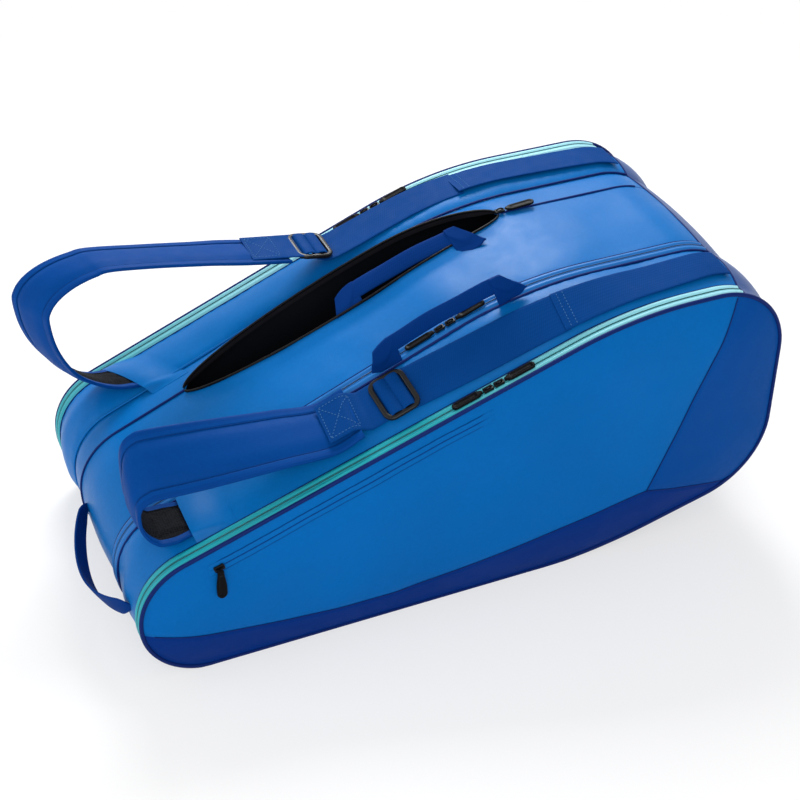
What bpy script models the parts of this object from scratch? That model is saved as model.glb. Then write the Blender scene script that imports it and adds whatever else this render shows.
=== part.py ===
"""Racket tournament bag: three soft compartments side by side on one teardrop profile.

Metres, +Z up. X runs from the narrow tail (handle end) to the wide head, Y from the near side to the
far side, and the bag stands on its flat base at z = 0. The middle of that base is the origin.
"""

import math

import bmesh
import bpy
from mathutils import Matrix, Vector

# Body profile, seen from the side
LENGTH = 0.760
HEIGHT = 0.325
TAIL_TOP = 0.132
TAIL_RADIUS = 0.076
SHOULDER_BACK = 0.192
SHOULDER_RADIUS = 0.443
HEAD_TOP_RADIUS = 0.090
HEAD_FOOT = 0.062
HEAD_FOOT_RADIUS = 0.075
BELLY_BACK = 0.227
BELLY_RADIUS = 0.600
RIDGE_SHOULDER_BACK = 0.295
RIDGE_RISE = 0.006
CROWN_POWER = 4
FAR_EDGE_SHARE = 0.8

# Body widths, measured from the middle plane or in from the piece outside
HALF_WIDTH = 0.184
ZIP_INSET = 0.009
STRAP_INSET = 0.045
CENTRE_ZIP_INSET = 0.045
PANEL_CROWN = 0.012
PANEL_RIM_IN = 0.012
PANEL_FLANK_IN = 0.040
PANEL_FACE_IN = 0.072
MODULE_HINGE_IN = 0.012
SHOE_WALL_CLEARANCE = 0.028

# Sheet thicknesses and clearances
WALL = 0.003
BOARD = 0.002
PARTITION = 0.0025
TAPE = 0.0010
TAPE_WIDTH = 0.009
WEBBING = 0.0015
PAD = 0.008
GAP = 0.0003
SEAM_GAP = 0.0004
PARTITION_GAP = 0.0007

# Seams that cross the compartments
HEAD_SEAM_BACK = 0.045
HEAD_SEAM_DROP = 0.012
TAIL_SEAM_IN = 0.022
TAIL_SEAM_UP = 0.022
ZIP_END_MARGIN = 0.004
BASE_PATCH_TAIL_Z = 0.028
PATCH_CORNER_BACK = 0.166
PATCH_CORNER_Z = 0.074
HEAD_PATCH_TOP_BACK = 0.062

# Shoe compartment mouth
MOUTH_TAIL_IN = 0.130
MOUTH_HEAD_BACK = 0.242
MOUTH_SEAM_INSET = 0.041
MOUTH_NEAR_BOW = 0.036
MOUTH_FAR_BOW = 0.032
MOUTH_STEPS = 12
TEETH_RADIUS = 0.0016
TEETH_LIFT = 0.0013

# Zip sliders and pulls
SLIDER_LENGTH = 0.012
SLIDER_WIDTH = 0.009
SLIDER_HEIGHT = 0.0045
SLIDER_MEET_BACK = 0.353
CENTRE_MEET_BACK = 0.3698
SHOE_SLIDER_AHEAD = 0.003
PULL_LENGTH = 0.036
PULL_WIDTH = 0.008
PULL_THICKNESS = 0.0026
PULL_CLEARANCE = 0.0016

# Side pocket on the near panel
POCKET_TAIL_IN = 0.075
POCKET_LENGTH = 0.325
POCKET_EDGE = 0.013
POCKET_TAPE_WIDTH = 0.012
POCKET_BAG_TAIL_IN = 0.110
POCKET_BAG_BEYOND = 0.040
POCKET_BAG_INSET = 0.076
POCKET_PULL_LENGTH = 0.030

# Shoulder straps
SLOT_INSET = 0.078
PAD_WIDTH = 0.066
BAND_WIDTH = 0.052
STITCH_BACK = 0.258
PAD_BUCKLE_GAP = 0.044
TAB_LAP = 0.033
BUCKLE_IN = 0.312
BUCKLE_LENGTH = 0.044
BUCKLE_WIDTH = 0.057
BUCKLE_HEIGHT = 0.004
BUCKLE_RAIL = 0.005
BUCKLE_CORNER = 0.006
STRAP_LIFT = 0.0025
NEAR_BEND_INSET = 0.012
NEAR_BEND_RADIUS = 0.047
NEAR_ROLL = math.radians(33)
FAR_BEND_OUT = 0.022
FAR_BEND_DROP = 0.035
FAR_LOOP_RISE = 0.017
FAR_BUCKLE_RISE = 0.034
FAR_LANDING_BACK = 0.092

# Carry handles and the grab handle on the tail
FAR_HANDLE_CLEARANCE = 0.014
HANDLE_TAIL_IN = 0.320
HANDLE_SPAN = 0.154
HANDLE_FOOT = 0.038
HANDLE_HEIGHT = 0.040
HANDLE_GRIP = 0.018
HANDLE_THICKNESS = 0.0022
NEAR_HANDLE_LIFT = 0.0033
FAR_HANDLE_LIFT = 0.0038
NEAR_HANDLE_LEAN = math.radians(-5)
FAR_HANDLE_LEAN = math.radians(-62)
GRAB_FAR_Y = 0.034
GRAB_SPAN = 0.184
GRAB_Z = 0.080
GRAB_REACH = 0.023
GRAB_WIDTH = 0.024
GRAB_THICKNESS = 0.002
GRAB_DROOP = 0.020
GRAB_END_STEPS = 6

# Fabric, webbing and plastic colours: red, green, blue
MID_BLUE = (0.012, 0.165, 0.560)
DEEP_BLUE = (0.006, 0.070, 0.330)
NAVY = (0.004, 0.024, 0.170)
TURQUOISE = (0.070, 0.560, 0.560)
BLACK = (0.010, 0.010, 0.012)
BOARD_GREY = (0.180, 0.180, 0.190)

# Places along the bag
TAIL_X = -LENGTH / 2
HEAD_X = LENGTH / 2
SHOULDER_X = HEAD_X - SHOULDER_BACK
RIDGE_SHOULDER_X = HEAD_X - RIDGE_SHOULDER_BACK
BELLY_X = HEAD_X - BELLY_BACK
PATCH_CORNER_X = HEAD_X - PATCH_CORNER_BACK
HEAD_PATCH_TOP_X = HEAD_X - HEAD_PATCH_TOP_BACK
MOUTH_TAIL_X = TAIL_X + MOUTH_TAIL_IN
MOUTH_HEAD_X = HEAD_X - MOUTH_HEAD_BACK
SLIDER_MEET_X = HEAD_X - SLIDER_MEET_BACK
CENTRE_MEET_X = HEAD_X - CENTRE_MEET_BACK
SHOE_SLIDER_X = MOUTH_HEAD_X + SHOE_SLIDER_AHEAD
POCKET_TAIL_X = TAIL_X + POCKET_TAIL_IN
POCKET_HEAD_X = POCKET_TAIL_X + POCKET_LENGTH
POCKET_BAG_TAIL_X = POCKET_TAIL_X + POCKET_BAG_TAIL_IN
POCKET_BAG_HEAD_X = POCKET_HEAD_X + POCKET_BAG_BEYOND
SLOT_X = TAIL_X + SLOT_INSET
STITCH_X = HEAD_X - STITCH_BACK
WEBBING_HEAD_X = STITCH_X - 3 * GAP
BUCKLE_X = TAIL_X + BUCKLE_IN
PAD_HEAD_X = BUCKLE_X - PAD_BUCKLE_GAP
TAB_TAIL_X = PAD_HEAD_X - TAB_LAP
NEAR_LANDING_X = TAB_TAIL_X - PAD
FAR_LANDING_X = STITCH_X - FAR_LANDING_BACK
HANDLE_TAIL_X = TAIL_X + HANDLE_TAIL_IN
HANDLE_HEAD_X = HANDLE_TAIL_X + HANDLE_SPAN

# Places across the bag
ZIP_Y = HALF_WIDTH - ZIP_INSET
STRAP_Y = ZIP_Y - STRAP_INSET
CENTRE_ZIP_Y = CENTRE_ZIP_INSET - STRAP_Y
FAR_SEAM_Y = STRAP_Y - PAD_WIDTH / 2
MOUTH_Y = FAR_SEAM_Y - MOUTH_SEAM_INSET
SHOE_WALL_Y = MOUTH_Y - MOUTH_NEAR_BOW - SHOE_WALL_CLEARANCE
HANDLE_NEAR_Y = CENTRE_ZIP_Y - TAPE_WIDTH - HANDLE_THICKNESS
HANDLE_FAR_Y = MOUTH_Y - MOUTH_NEAR_BOW - FAR_HANDLE_CLEARANCE
GRAB_NEAR_Y = GRAB_FAR_Y - GRAB_SPAN

NEAR = -1
FAR = 1
CORNER_STEPS = (5, 5, 8, 5, 5, 3)
PANEL_RINGS = ((PANEL_RIM_IN, 0.34), (PANEL_FLANK_IN, 0.78), (PANEL_FACE_IN, 1.0))
FAR_ROOT_TURNS = [math.radians(angle) for angle in (29, 49, 69)]
PULL_ROUNDING = 0.48 * PULL_THICKNESS
SLOPE_REACH = SLIDER_LENGTH / 3
SATIN = 0.35


def clear_scene():
    """Remove what the start-up scene holds."""
    for obj in list(bpy.data.objects):
        bpy.data.objects.remove(obj)


def new_collection(name):
    """Add a collection to the scene."""
    collection = bpy.data.collections.new(name)
    bpy.context.scene.collection.children.link(collection)
    return collection


def finish(name, colour, roughness=0.6, metallic=0.0):
    """Make a Principled BSDF material for one sub-part."""
    material = bpy.data.materials.new(name)
    material.use_nodes = True
    shader = material.node_tree.nodes["Principled BSDF"]
    shader.inputs["Base Color"].default_value = (*colour, 1.0)
    shader.inputs["Roughness"].default_value = roughness
    shader.inputs["Metallic"].default_value = metallic
    return material


def add_part(name, data, colour, roughness=0.6):
    """Put mesh or curve data in the bag's collection as one named object."""
    obj = bpy.data.objects.new(name, data)
    data.materials.append(finish(name, colour, roughness))
    PARTS.objects.link(obj)
    return obj


def solidify(obj, thickness):
    """Give an open surface its thickness, inwards from its outer face."""
    wall = obj.modifiers.new("wall", "SOLIDIFY")
    wall.thickness = thickness
    wall.offset = -1.0
    wall.use_even_offset = True
    return obj


def bevel(obj, width, segments=2):
    """Round the edges of a solid."""
    edge = obj.modifiers.new("edge", "BEVEL")
    edge.width = width
    edge.segments = segments
    return obj


# Profile


def ridge_share(y):
    """How far the top has risen to the ridge: all in the middle, none at the near zip, most at the far."""
    edge = FAR_EDGE_SHARE if y > 0 else 0.0
    fall = min(1.0, (abs(y) / (ZIP_Y - TAPE_WIDTH)) ** CROWN_POWER)
    return 1.0 - (1.0 - edge) * fall


def corners_at(y):
    """The profile's corners at station y, as (x, z, radius), clockwise from the tail's foot."""
    share = ridge_share(y)
    shoulder = SHOULDER_X + (RIDGE_SHOULDER_X - SHOULDER_X) * share
    top = HEIGHT + RIDGE_RISE * share
    return (
        (TAIL_X, 0.0, TAIL_RADIUS),
        (TAIL_X, TAIL_TOP, TAIL_RADIUS),
        (shoulder, top, SHOULDER_RADIUS),
        (HEAD_X, top, HEAD_TOP_RADIUS),
        (HEAD_X, HEAD_FOOT, HEAD_FOOT_RADIUS),
        (BELLY_X, 0.0, BELLY_RADIUS),
    )


def crossing(point_a, along_a, point_b, along_b):
    """Where two lines of the XZ plane cross."""
    gap = point_b - point_a
    share = gap.cross(along_b) / along_a.cross(along_b)
    return point_a + along_a * share


def profile(y, offset=0.0):
    """Closed outline at station y as (x, z) pairs, moved inwards by offset."""
    corners = corners_at(y)
    points = [Vector(corner[:2]) for corner in corners]
    count = len(points)
    lines = []
    for i, point in enumerate(points):
        along = (points[(i + 1) % count] - point).normalized()
        inwards = Vector((along.y, -along.x))
        lines.append((point + inwards * offset, along))
    moved = [crossing(*lines[i - 1], *lines[i]) for i in range(count)]
    outline = []
    for i, corner in enumerate(moved):
        radius = corners[i][2] - offset
        back = (moved[i - 1] - corner).normalized()
        ahead = (moved[(i + 1) % count] - corner).normalized()
        half = back.angle(ahead) / 2
        centre = corner + (back + ahead).normalized() * radius / math.sin(half)
        start = corner + back * radius / math.tan(half) - centre
        sweep = math.pi - 2 * half
        for step in range(CORNER_STEPS[i] + 1):
            turn = -sweep * step / CORNER_STEPS[i]
            outline.append(centre + Matrix.Rotation(turn, 2) @ start)
    return [tuple(point) for point in outline]


def top_z(x, y, offset=0.0):
    """Height of the top face over (x, y), on the outline moved inwards by offset."""
    outline = profile(y, offset)
    best = 0.0
    for (x0, z0), (x1, z1) in zip(outline, outline[1:]):
        if min(x0, x1) <= x <= max(x0, x1) and abs(x1 - x0) > 1e-9:
            best = max(best, z0 + (z1 - z0) * (x - x0) / (x1 - x0))
    return best


def top_frame(x, y, offset=0.0, spread=0.0):
    """Placement on the top face: local X towards the head, local Z straight out.

    Spread is how far to either side of y the slope across the bag is taken; none keeps local Y level.
    """
    reach = SLOPE_REACH
    along = Vector((2 * reach, 0, top_z(x + reach, y, offset) - top_z(x - reach, y, offset)))
    along.normalize()
    across = Vector((0, 1, 0))
    if spread:
        fall = top_z(x, y + spread, offset) - top_z(x, y - spread, offset)
        across = Vector((0, 2 * spread, fall)).normalized()
    out = along.cross(across).normalized()
    frame = Matrix((along, out.cross(along), out)).transposed().to_4x4()
    frame.translation = (x, y, top_z(x, y, offset))
    return frame


# Surfaces made by extruding an edge loop


def start_chain(bm, points, closed):
    """Lay a chain of edges through the points and return its vertices and edges."""
    verts = [bm.verts.new(point) for point in points]
    edges = [bm.edges.new(pair) for pair in zip(verts, verts[1:])]
    if closed:
        edges.append(bm.edges.new((verts[-1], verts[0])))
    return verts, edges


def extrude_chain(bm, verts, edges, points):
    """Extrude a chain of edges and carry each new vertex to its point."""
    made = bmesh.ops.extrude_edge_only(bm, edges=edges)["geom"]
    fresh = {item for item in made if isinstance(item, bmesh.types.BMVert)}
    twins = []
    for vert, point in zip(verts, points):
        ends = (edge.other_vert(vert) for edge in vert.link_edges)
        twin = next(end for end in ends if end in fresh)
        twin.co = point
        twins.append(twin)
    new_edges = [
        item
        for item in made
        if isinstance(item, bmesh.types.BMEdge) and fresh.issuperset(item.verts)
    ]
    return twins, new_edges


def keep_side(bm, point, normal):
    """Cut by a plane, keep the side that the normal points to, and close the cut of a solid."""
    everything = bm.verts[:] + bm.edges[:] + bm.faces[:]
    cut = bmesh.ops.bisect_plane(
        bm, geom=everything, dist=1e-7, plane_co=point, plane_no=normal, clear_inner=True
    )["geom_cut"]
    rim = [item for item in cut if isinstance(item, bmesh.types.BMEdge) and item.is_boundary]
    bmesh.ops.triangle_fill(bm, edges=rim, normal=normal, use_beauty=True)


def cut_part(obj, cuts):
    """Apply a part's modifiers and cut the solid by planes."""
    if not cuts:
        return
    bpy.context.view_layer.update()
    bm = bmesh.new()
    bm.from_object(obj, bpy.context.evaluated_depsgraph_get())
    obj.modifiers.clear()
    for point, normal in cuts:
        keep_side(bm, point, normal)
    bmesh.ops.recalc_face_normals(bm, faces=bm.faces)
    bm.to_mesh(obj.data)
    bm.free()


def face_out(bm, outwards):
    """Turn a surface so that its faces point outwards, as the given function of a place says."""
    bmesh.ops.recalc_face_normals(bm, faces=bm.faces)
    score = 0.0
    for face in bm.faces:
        score += face.normal.dot(outwards(face.calc_center_median())) * face.calc_area()
    if score < 0:
        bmesh.ops.reverse_faces(bm, faces=bm.faces)


def mesh_part(name, bm, colour, thickness=None, roughness=0.6):
    """Turn a bmesh into a named part, with a wall thickness if it is an open surface."""
    mesh = bpy.data.meshes.new(name)
    bm.to_mesh(mesh)
    bm.free()
    obj = add_part(name, mesh, colour, roughness)
    if thickness:
        solidify(obj, thickness)
    return obj


def loop_at(y, offset):
    """A profile outline as points in space."""
    return [(x, y, z) for x, z in profile(y, offset)]


def from_axis(place):
    """Direction from the bag's long axis, for facing a band outwards."""
    return Vector((place.x, 0, place.z - HEIGHT / 2))


def band(name, stations, colour, thickness, lift=0.0, cuts=()):
    """A strip of sheet round the profile between stations, kept on one side of each cutting plane."""
    offset = -lift
    bm = bmesh.new()
    verts, edges = start_chain(bm, loop_at(stations[0], offset), closed=True)
    for y in stations[1:]:
        verts, edges = extrude_chain(bm, verts, edges, loop_at(y, offset))
    face_out(bm, from_axis)
    obj = mesh_part(name, bm, colour, thickness)
    cut_part(obj, cuts)
    return obj


def seam_plane(side, margin=SEAM_GAP / 2):
    """Plane through the tail and head seams: side 1 keeps the top sheet, side -1 the base sheet."""
    tail = Vector((TAIL_X + TAIL_SEAM_IN, 0, TAIL_SEAM_UP))
    head = Vector((HEAD_X - HEAD_SEAM_BACK, 0, HEIGHT - HEAD_SEAM_DROP))
    along = (head - tail).normalized()
    normal = Vector((-along.z, 0, along.x)) * side
    return tail + normal * margin, normal


def ribbon(name, lines, colour, thickness, outwards=Vector((0, 0, 1)), roughness=0.6):
    """A strap or tape through lines along its length, its outer face on them, its thickness behind."""
    bm = bmesh.new()
    verts, edges = start_chain(bm, lines[0], closed=False)
    for line in lines[1:]:
        verts, edges = extrude_chain(bm, verts, edges, line)
    face_out(bm, lambda place: outwards)
    return mesh_part(name, bm, colour, thickness, roughness)


def flat_plate(name, loops, thickness, colour, frame, roughness=0.6):
    """A flat outline, with any holes, extruded to its thickness; frame places its local XY plane."""
    curve = bpy.data.curves.new(name, "CURVE")
    curve.dimensions = "2D"
    curve.fill_mode = "BOTH"
    curve.extrude = thickness / 2
    for loop in loops:
        spline = curve.splines.new("POLY")
        spline.points.add(len(loop) - 1)
        for point, (x, y) in zip(spline.points, loop):
            point.co = (x, y, 0, 1)
        spline.use_cyclic_u = True
    obj = add_part(name, curve, colour, roughness)
    obj.matrix_world = frame
    return obj


def upright(y):
    """Frame whose local XY plane is the bag's XZ plane at station y."""
    return Matrix.Translation((0, y, 0)) @ Matrix.Rotation(math.pi / 2, 4, "X")


def block(name, low, high, colour, frame=Matrix(), rounding=0.0, roughness=0.6):
    """A box between two corners of a local frame, with rounded edges if asked."""
    low, high = Vector(low), Vector(high)
    bm = bmesh.new()
    scale = Matrix.Diagonal((*(high - low), 1.0))
    bmesh.ops.create_cube(bm, size=1.0, matrix=Matrix.Translation((low + high) / 2) @ scale)
    obj = mesh_part(name, bm, colour, roughness=roughness)
    obj.matrix_world = frame
    if rounding:
        bevel(obj, rounding)
    return obj


# Sheets of the body


def band_stations(side):
    """Stations across a side compartment's top that its tape and strap band share, zip first."""
    inner = CENTRE_ZIP_Y if side == NEAR else FAR_SEAM_Y
    stations = [
        side * (ZIP_Y - GAP / 2),
        side * (ZIP_Y - TAPE_WIDTH),
        side * (STRAP_Y + BAND_WIDTH / 2),
        side * STRAP_Y,
        side * (STRAP_Y - BAND_WIDTH / 2),
    ]
    if side == NEAR:
        stations.append(inner - TAPE_WIDTH)
    return [*stations, inner + side * GAP / 2]


def centre_stations():
    """Stations across the middle compartments' top sheet."""
    start = CENTRE_ZIP_Y + GAP / 2
    end = FAR_SEAM_Y - GAP / 2
    inner = CENTRE_ZIP_Y + TAPE_WIDTH
    middle = (inner + end) / 2
    return [start, inner, (inner + middle) / 2, middle, (middle + end) / 2, end]


def build_gussets(prefix, stations, top_colour, base_colour):
    """The top sheet and the base sheet that wrap one compartment."""
    top = band(f"{prefix}_top_gusset", stations, top_colour, WALL, cuts=[seam_plane(1)])
    band(f"{prefix}_base_gusset", stations, base_colour, WALL, cuts=[seam_plane(-1)])
    return top


def build_partition(name, y, colour):
    """A divider that fills the profile inside the gussets."""
    outline = profile(y, WALL + PARTITION_GAP)
    flat_plate(name, [outline], PARTITION, colour, upright(y))


def build_base_board(name, y_low, y_high):
    """The stiffening board that lies on the flat part of the base."""
    tail_end = TAIL_X + TAIL_RADIUS
    head_end = BELLY_X - BELLY_RADIUS * math.tan(math.atan2(HEAD_FOOT, HEAD_X - BELLY_X) / 2)
    low = (tail_end, y_low + WALL, WALL + GAP)
    high = (head_end, y_high - WALL, WALL + GAP + BOARD)
    block(name, low, high, BOARD_GREY)


def build_body_sheets():
    """Gussets, partitions and base boards of the three compartments."""
    build_gussets("near", band_stations(NEAR), MID_BLUE, DEEP_BLUE)
    build_gussets("far", band_stations(FAR), MID_BLUE, DEEP_BLUE)
    centre = build_gussets("centre", centre_stations(), MID_BLUE, DEEP_BLUE)
    cut_mouth(centre)
    near_wall = CENTRE_ZIP_Y - GAP - PARTITION / 2
    far_wall = FAR_SEAM_Y + GAP + PARTITION / 2
    build_partition("near_partition", near_wall, DEEP_BLUE)
    build_partition("shoe_partition", SHOE_WALL_Y, BLACK)
    build_partition("far_partition", far_wall, DEEP_BLUE)
    build_base_board("near_base_board", -ZIP_Y, near_wall)
    build_base_board("centre_base_board", CENTRE_ZIP_Y, SHOE_WALL_Y)
    build_base_board("shoe_base_board", SHOE_WALL_Y, FAR_SEAM_Y)
    build_base_board("far_base_board", far_wall, ZIP_Y)


# Shoe compartment mouth


def mouth_outline(grow=0.0):
    """Lens-shaped outline of the open shoe zip, seen from above, anticlockwise from its tail tip."""
    middle = (MOUTH_TAIL_X + MOUTH_HEAD_X) / 2
    half = (MOUTH_HEAD_X - MOUTH_TAIL_X) / 2
    points = []
    for side, bow in ((NEAR, MOUTH_NEAR_BOW), (FAR, MOUTH_FAR_BOW)):
        for step in range(MOUTH_STEPS):
            angle = math.pi * step / MOUTH_STEPS
            x = middle + side * half * math.cos(angle)
            points.append((x, MOUTH_Y + side * (bow + grow) * math.sin(angle)))
    return points


def cut_mouth(sheet):
    """Open the lens-shaped mouth in the middle compartments' top sheet."""
    bm = bmesh.new()
    floor = TAIL_TOP / 2
    verts, edges = start_chain(bm, [(x, y, floor) for x, y in mouth_outline()], closed=True)
    bmesh.ops.contextual_create(bm, geom=edges)
    lid = bmesh.ops.extrude_face_region(bm, geom=bm.faces[:])["geom"]
    lid_verts = [item for item in lid if isinstance(item, bmesh.types.BMVert)]
    bmesh.ops.translate(bm, verts=lid_verts, vec=(0, 0, HEIGHT))
    bmesh.ops.recalc_face_normals(bm, faces=bm.faces)
    mesh = bpy.data.meshes.new("mouth_cutter")
    bm.to_mesh(mesh)
    bm.free()
    cutter = bpy.data.objects.new("mouth_cutter", mesh)
    cutter.hide_render = True
    cutter.display_type = "WIRE"
    CUTTERS.objects.link(cutter)
    cut = sheet.modifiers.new("mouth", "BOOLEAN")
    cut.operation = "DIFFERENCE"
    cut.object = cutter


def build_shoe_teeth():
    """The open zip's row of teeth, one closed cord round the mouth."""
    curve = bpy.data.curves.new("shoe_zip_teeth", "CURVE")
    curve.dimensions = "3D"
    curve.bevel_depth = TEETH_RADIUS
    curve.bevel_resolution = 1
    outline = mouth_outline(grow=TEETH_RADIUS)
    spline = curve.splines.new("POLY")
    spline.points.add(len(outline) - 1)
    for point, (x, y) in zip(spline.points, outline):
        point.co = (x, y, top_z(x, y) + TEETH_RADIUS + TEETH_LIFT, 1)
    spline.use_cyclic_u = True
    add_part("shoe_zip_teeth", curve, BLACK)


# Zips


def zip_cut():
    """Plane that ends a zip a little before the seams."""
    return seam_plane(1, ZIP_END_MARGIN)


def build_tapes():
    """Both tape halves of the side zips and of the middle zip."""
    lift = GAP + TAPE
    for side, prefix in ((NEAR, "near"), (FAR, "far")):
        inner = [side * (ZIP_Y - GAP / 2), side * (ZIP_Y - TAPE_WIDTH)]
        outer = [side * (HALF_WIDTH - GAP), side * (ZIP_Y + GAP / 2)]
        band(f"{prefix}_zip_inner_tape", inner, TURQUOISE, TAPE, lift, [zip_cut()])
        band(f"{prefix}_zip_outer_tape", outer, TURQUOISE, TAPE, lift, [zip_cut()])
    near = [CENTRE_ZIP_Y - TAPE_WIDTH, CENTRE_ZIP_Y - GAP / 2]
    far = [CENTRE_ZIP_Y + GAP / 2, CENTRE_ZIP_Y + TAPE_WIDTH]
    band("centre_zip_near_tape", near, MID_BLUE, TAPE, lift, [zip_cut()])
    band("centre_zip_far_tape", far, MID_BLUE, TAPE, lift, [zip_cut()])


def build_slider(name, frame):
    """A zip slider's body, seated on its tape."""
    half = Vector((SLIDER_LENGTH, SLIDER_WIDTH, 0)) / 2
    high = half + Vector((0, 0, SLIDER_HEIGHT))
    seat = Vector((0, 0, 2 * GAP))
    block(f"{name}_slider", seat - half, seat + high, BLACK, frame, SLIDER_HEIGHT / 4, SATIN)


def build_pull(name, frame, direction, length=PULL_LENGTH):
    """A slider's pull, lying along the zip on the side that direction names."""
    hinge = SLIDER_LENGTH / 2 + GAP + PULL_THICKNESS / 2
    axis = Matrix.Translation((direction * hinge, 0, PULL_CLEARANCE + PULL_THICKNESS / 2))
    back = -PULL_THICKNESS / 2
    low = (min(direction * back, direction * length), -PULL_WIDTH / 2, back)
    high = (max(direction * back, direction * length), PULL_WIDTH / 2, -back)
    block(f"{name}_pull", low, high, BLACK, frame @ axis, PULL_ROUNDING, SATIN)


def build_pair(prefix, meet_x, y):
    """Two sliders that meet in the middle of a closed zip, their pulls lying outwards."""
    apart = SLIDER_LENGTH / 2 + GAP
    for name, direction in (("tail", NEAR), ("head", FAR)):
        frame = top_frame(meet_x + direction * apart, y, -(GAP + TAPE))
        build_slider(f"{prefix}_{name}", frame)
        build_pull(f"{prefix}_{name}", frame, direction)


def build_sliders():
    """Sliders and pulls of every zip."""
    build_pair("near", SLIDER_MEET_X, -ZIP_Y)
    build_pair("far", SLIDER_MEET_X, ZIP_Y)
    build_pair("centre", CENTRE_MEET_X, CENTRE_ZIP_Y)
    frame = top_frame(SHOE_SLIDER_X, MOUTH_Y, -(2 * TEETH_RADIUS + TEETH_LIFT))
    build_slider("shoe", frame)
    build_pull("shoe", frame, FAR)


# Side panels


def panel_stations(side):
    """The side panel's rings, as (offset, y): rim, edge and crowned face."""
    rings = [(0.0, side * (ZIP_Y + GAP / 2)), (0.0, side * HALF_WIDTH)]
    for offset, share in PANEL_RINGS:
        rings.append((offset, side * (HALF_WIDTH + PANEL_CROWN * share)))
    return rings


def build_panel_piece(name, side, colour, cuts):
    """One of the sheets that a side panel is sewn from."""
    rings = panel_stations(side)
    bm = bmesh.new()
    verts, edges = start_chain(bm, loop_at(rings[0][1], rings[0][0]), closed=True)
    for offset, y in rings[1:]:
        verts, edges = extrude_chain(bm, verts, edges, loop_at(y, offset))
    bmesh.ops.contextual_create(bm, geom=edges)
    face_out(bm, lambda place: Vector((0, side, 0)))
    cut_part(mesh_part(name, bm, colour, WALL), cuts)


def patch_planes():
    """The seam lines of a side panel: above the base patch, and in front of the head patch."""
    corner = Vector((PATCH_CORNER_X, 0, PATCH_CORNER_Z))
    tail = Vector((TAIL_X, 0, BASE_PATCH_TAIL_Z))
    top = Vector((HEAD_PATCH_TOP_X, 0, HEIGHT))
    along = (corner - tail).normalized()
    up = Vector((-along.z, 0, along.x))
    rise = (top - corner).normalized()
    ahead = Vector((rise.z, 0, -rise.x))
    return corner, up, ahead


def build_side_panel(prefix, side):
    """A side panel, sewn from its main sheet, base patch and head patch."""
    corner, up, ahead = patch_planes()
    half = SEAM_GAP / 2
    above = (corner + up * half, up)
    below = (corner - up * half, -up)
    behind = (corner - ahead * half, -ahead)
    before = (corner + ahead * half, ahead)
    build_panel_piece(f"{prefix}_side_panel", side, MID_BLUE, [above, behind])
    build_panel_piece(f"{prefix}_head_patch", side, DEEP_BLUE, [above, before])
    build_panel_piece(f"{prefix}_base_patch", side, NAVY, [below])


def panel_y(offset, side):
    """Station of a side panel's outer face at a distance in from its edge."""
    rings = panel_stations(side)[1:]
    for (offset_a, y_a), (offset_b, y_b) in zip(rings, rings[1:]):
        if offset <= offset_b:
            return y_a + (y_b - y_a) * (offset - offset_a) / (offset_b - offset_a)
    return rings[-1][1]


def pocket_point(x, offset, lift):
    """A point on the near panel's face, in from the sloping edge, raised off the face by lift."""
    y = panel_y(offset, NEAR)
    return Vector((x, y - lift, top_z(x, NEAR * HALF_WIDTH, offset)))


def build_side_pocket():
    """The near panel's pocket: its zip along the sloping edge and the bag behind the panel."""
    lift = 2 * GAP + TAPE
    outer = POCKET_EDGE
    inner = POCKET_EDGE + POCKET_TAPE_WIDTH
    ends = (POCKET_TAIL_X, POCKET_HEAD_X)
    edges = [[pocket_point(x, offset, lift) for x in ends] for offset in (outer, inner)]
    outwards = Vector((0, NEAR, 0))
    ribbon("pocket_zip_tape", edges, MID_BLUE, TAPE, outwards)

    bag_y = panel_y(POCKET_BAG_INSET, NEAR) + WALL + GAP + TAPE / 2
    slope = math.atan2(HEIGHT - TAIL_TOP, SHOULDER_X - TAIL_X)
    below = POCKET_BAG_INSET / math.cos(slope)
    tops = [(x, top_z(x, NEAR * HALF_WIDTH) - below) for x in (POCKET_BAG_HEAD_X, POCKET_BAG_TAIL_X)]
    feet = [(x, POCKET_BAG_INSET) for x in (POCKET_BAG_TAIL_X, POCKET_BAG_HEAD_X)]
    flat_plate("pocket_bag", [tops + feet], TAPE, BLACK, upright(bag_y))

    middle = (outer + inner) / 2
    start = ends[0] + SLIDER_LENGTH
    along = (pocket_point(ends[1], middle, lift) - pocket_point(ends[0], middle, lift)).normalized()
    down = pocket_point(start, inner, lift) - pocket_point(start, outer, lift)
    out = down.cross(along).normalized()
    frame = Matrix((along, out.cross(along), out)).transposed().to_4x4()
    frame.translation = pocket_point(start, middle, lift)
    build_slider("pocket", frame)
    half = PULL_THICKNESS / 2
    low = (-PULL_WIDTH / 2, -half, -POCKET_PULL_LENGTH)
    high = (PULL_WIDTH / 2, half, 0)
    axis = Matrix.Translation(frame.translation + out * (SLIDER_HEIGHT + 5 * GAP + half))
    block("pocket_pull", low, high, BLACK, axis, PULL_ROUNDING, SATIN)


# Shoulder straps


def strap_stations(side, width):
    """Stations of a strap's inner edge, middle and outer edge."""
    return [side * (STRAP_Y - width / 2), side * STRAP_Y, side * (STRAP_Y + width / 2)]


def level_lines(side, width, route):
    """Lines of a strap that is level across, along a route of (x, z) points."""
    return [[(x, y, z) for x, z in route] for y in strap_stations(side, width)]


def lying_lines(side, width, route):
    """Lines of a strap that lies on the top face, along a route of (x, lift) points."""
    return [[(x, y, top_z(x, y) + lift) for x, lift in route] for y in strap_stations(side, width)]


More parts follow.
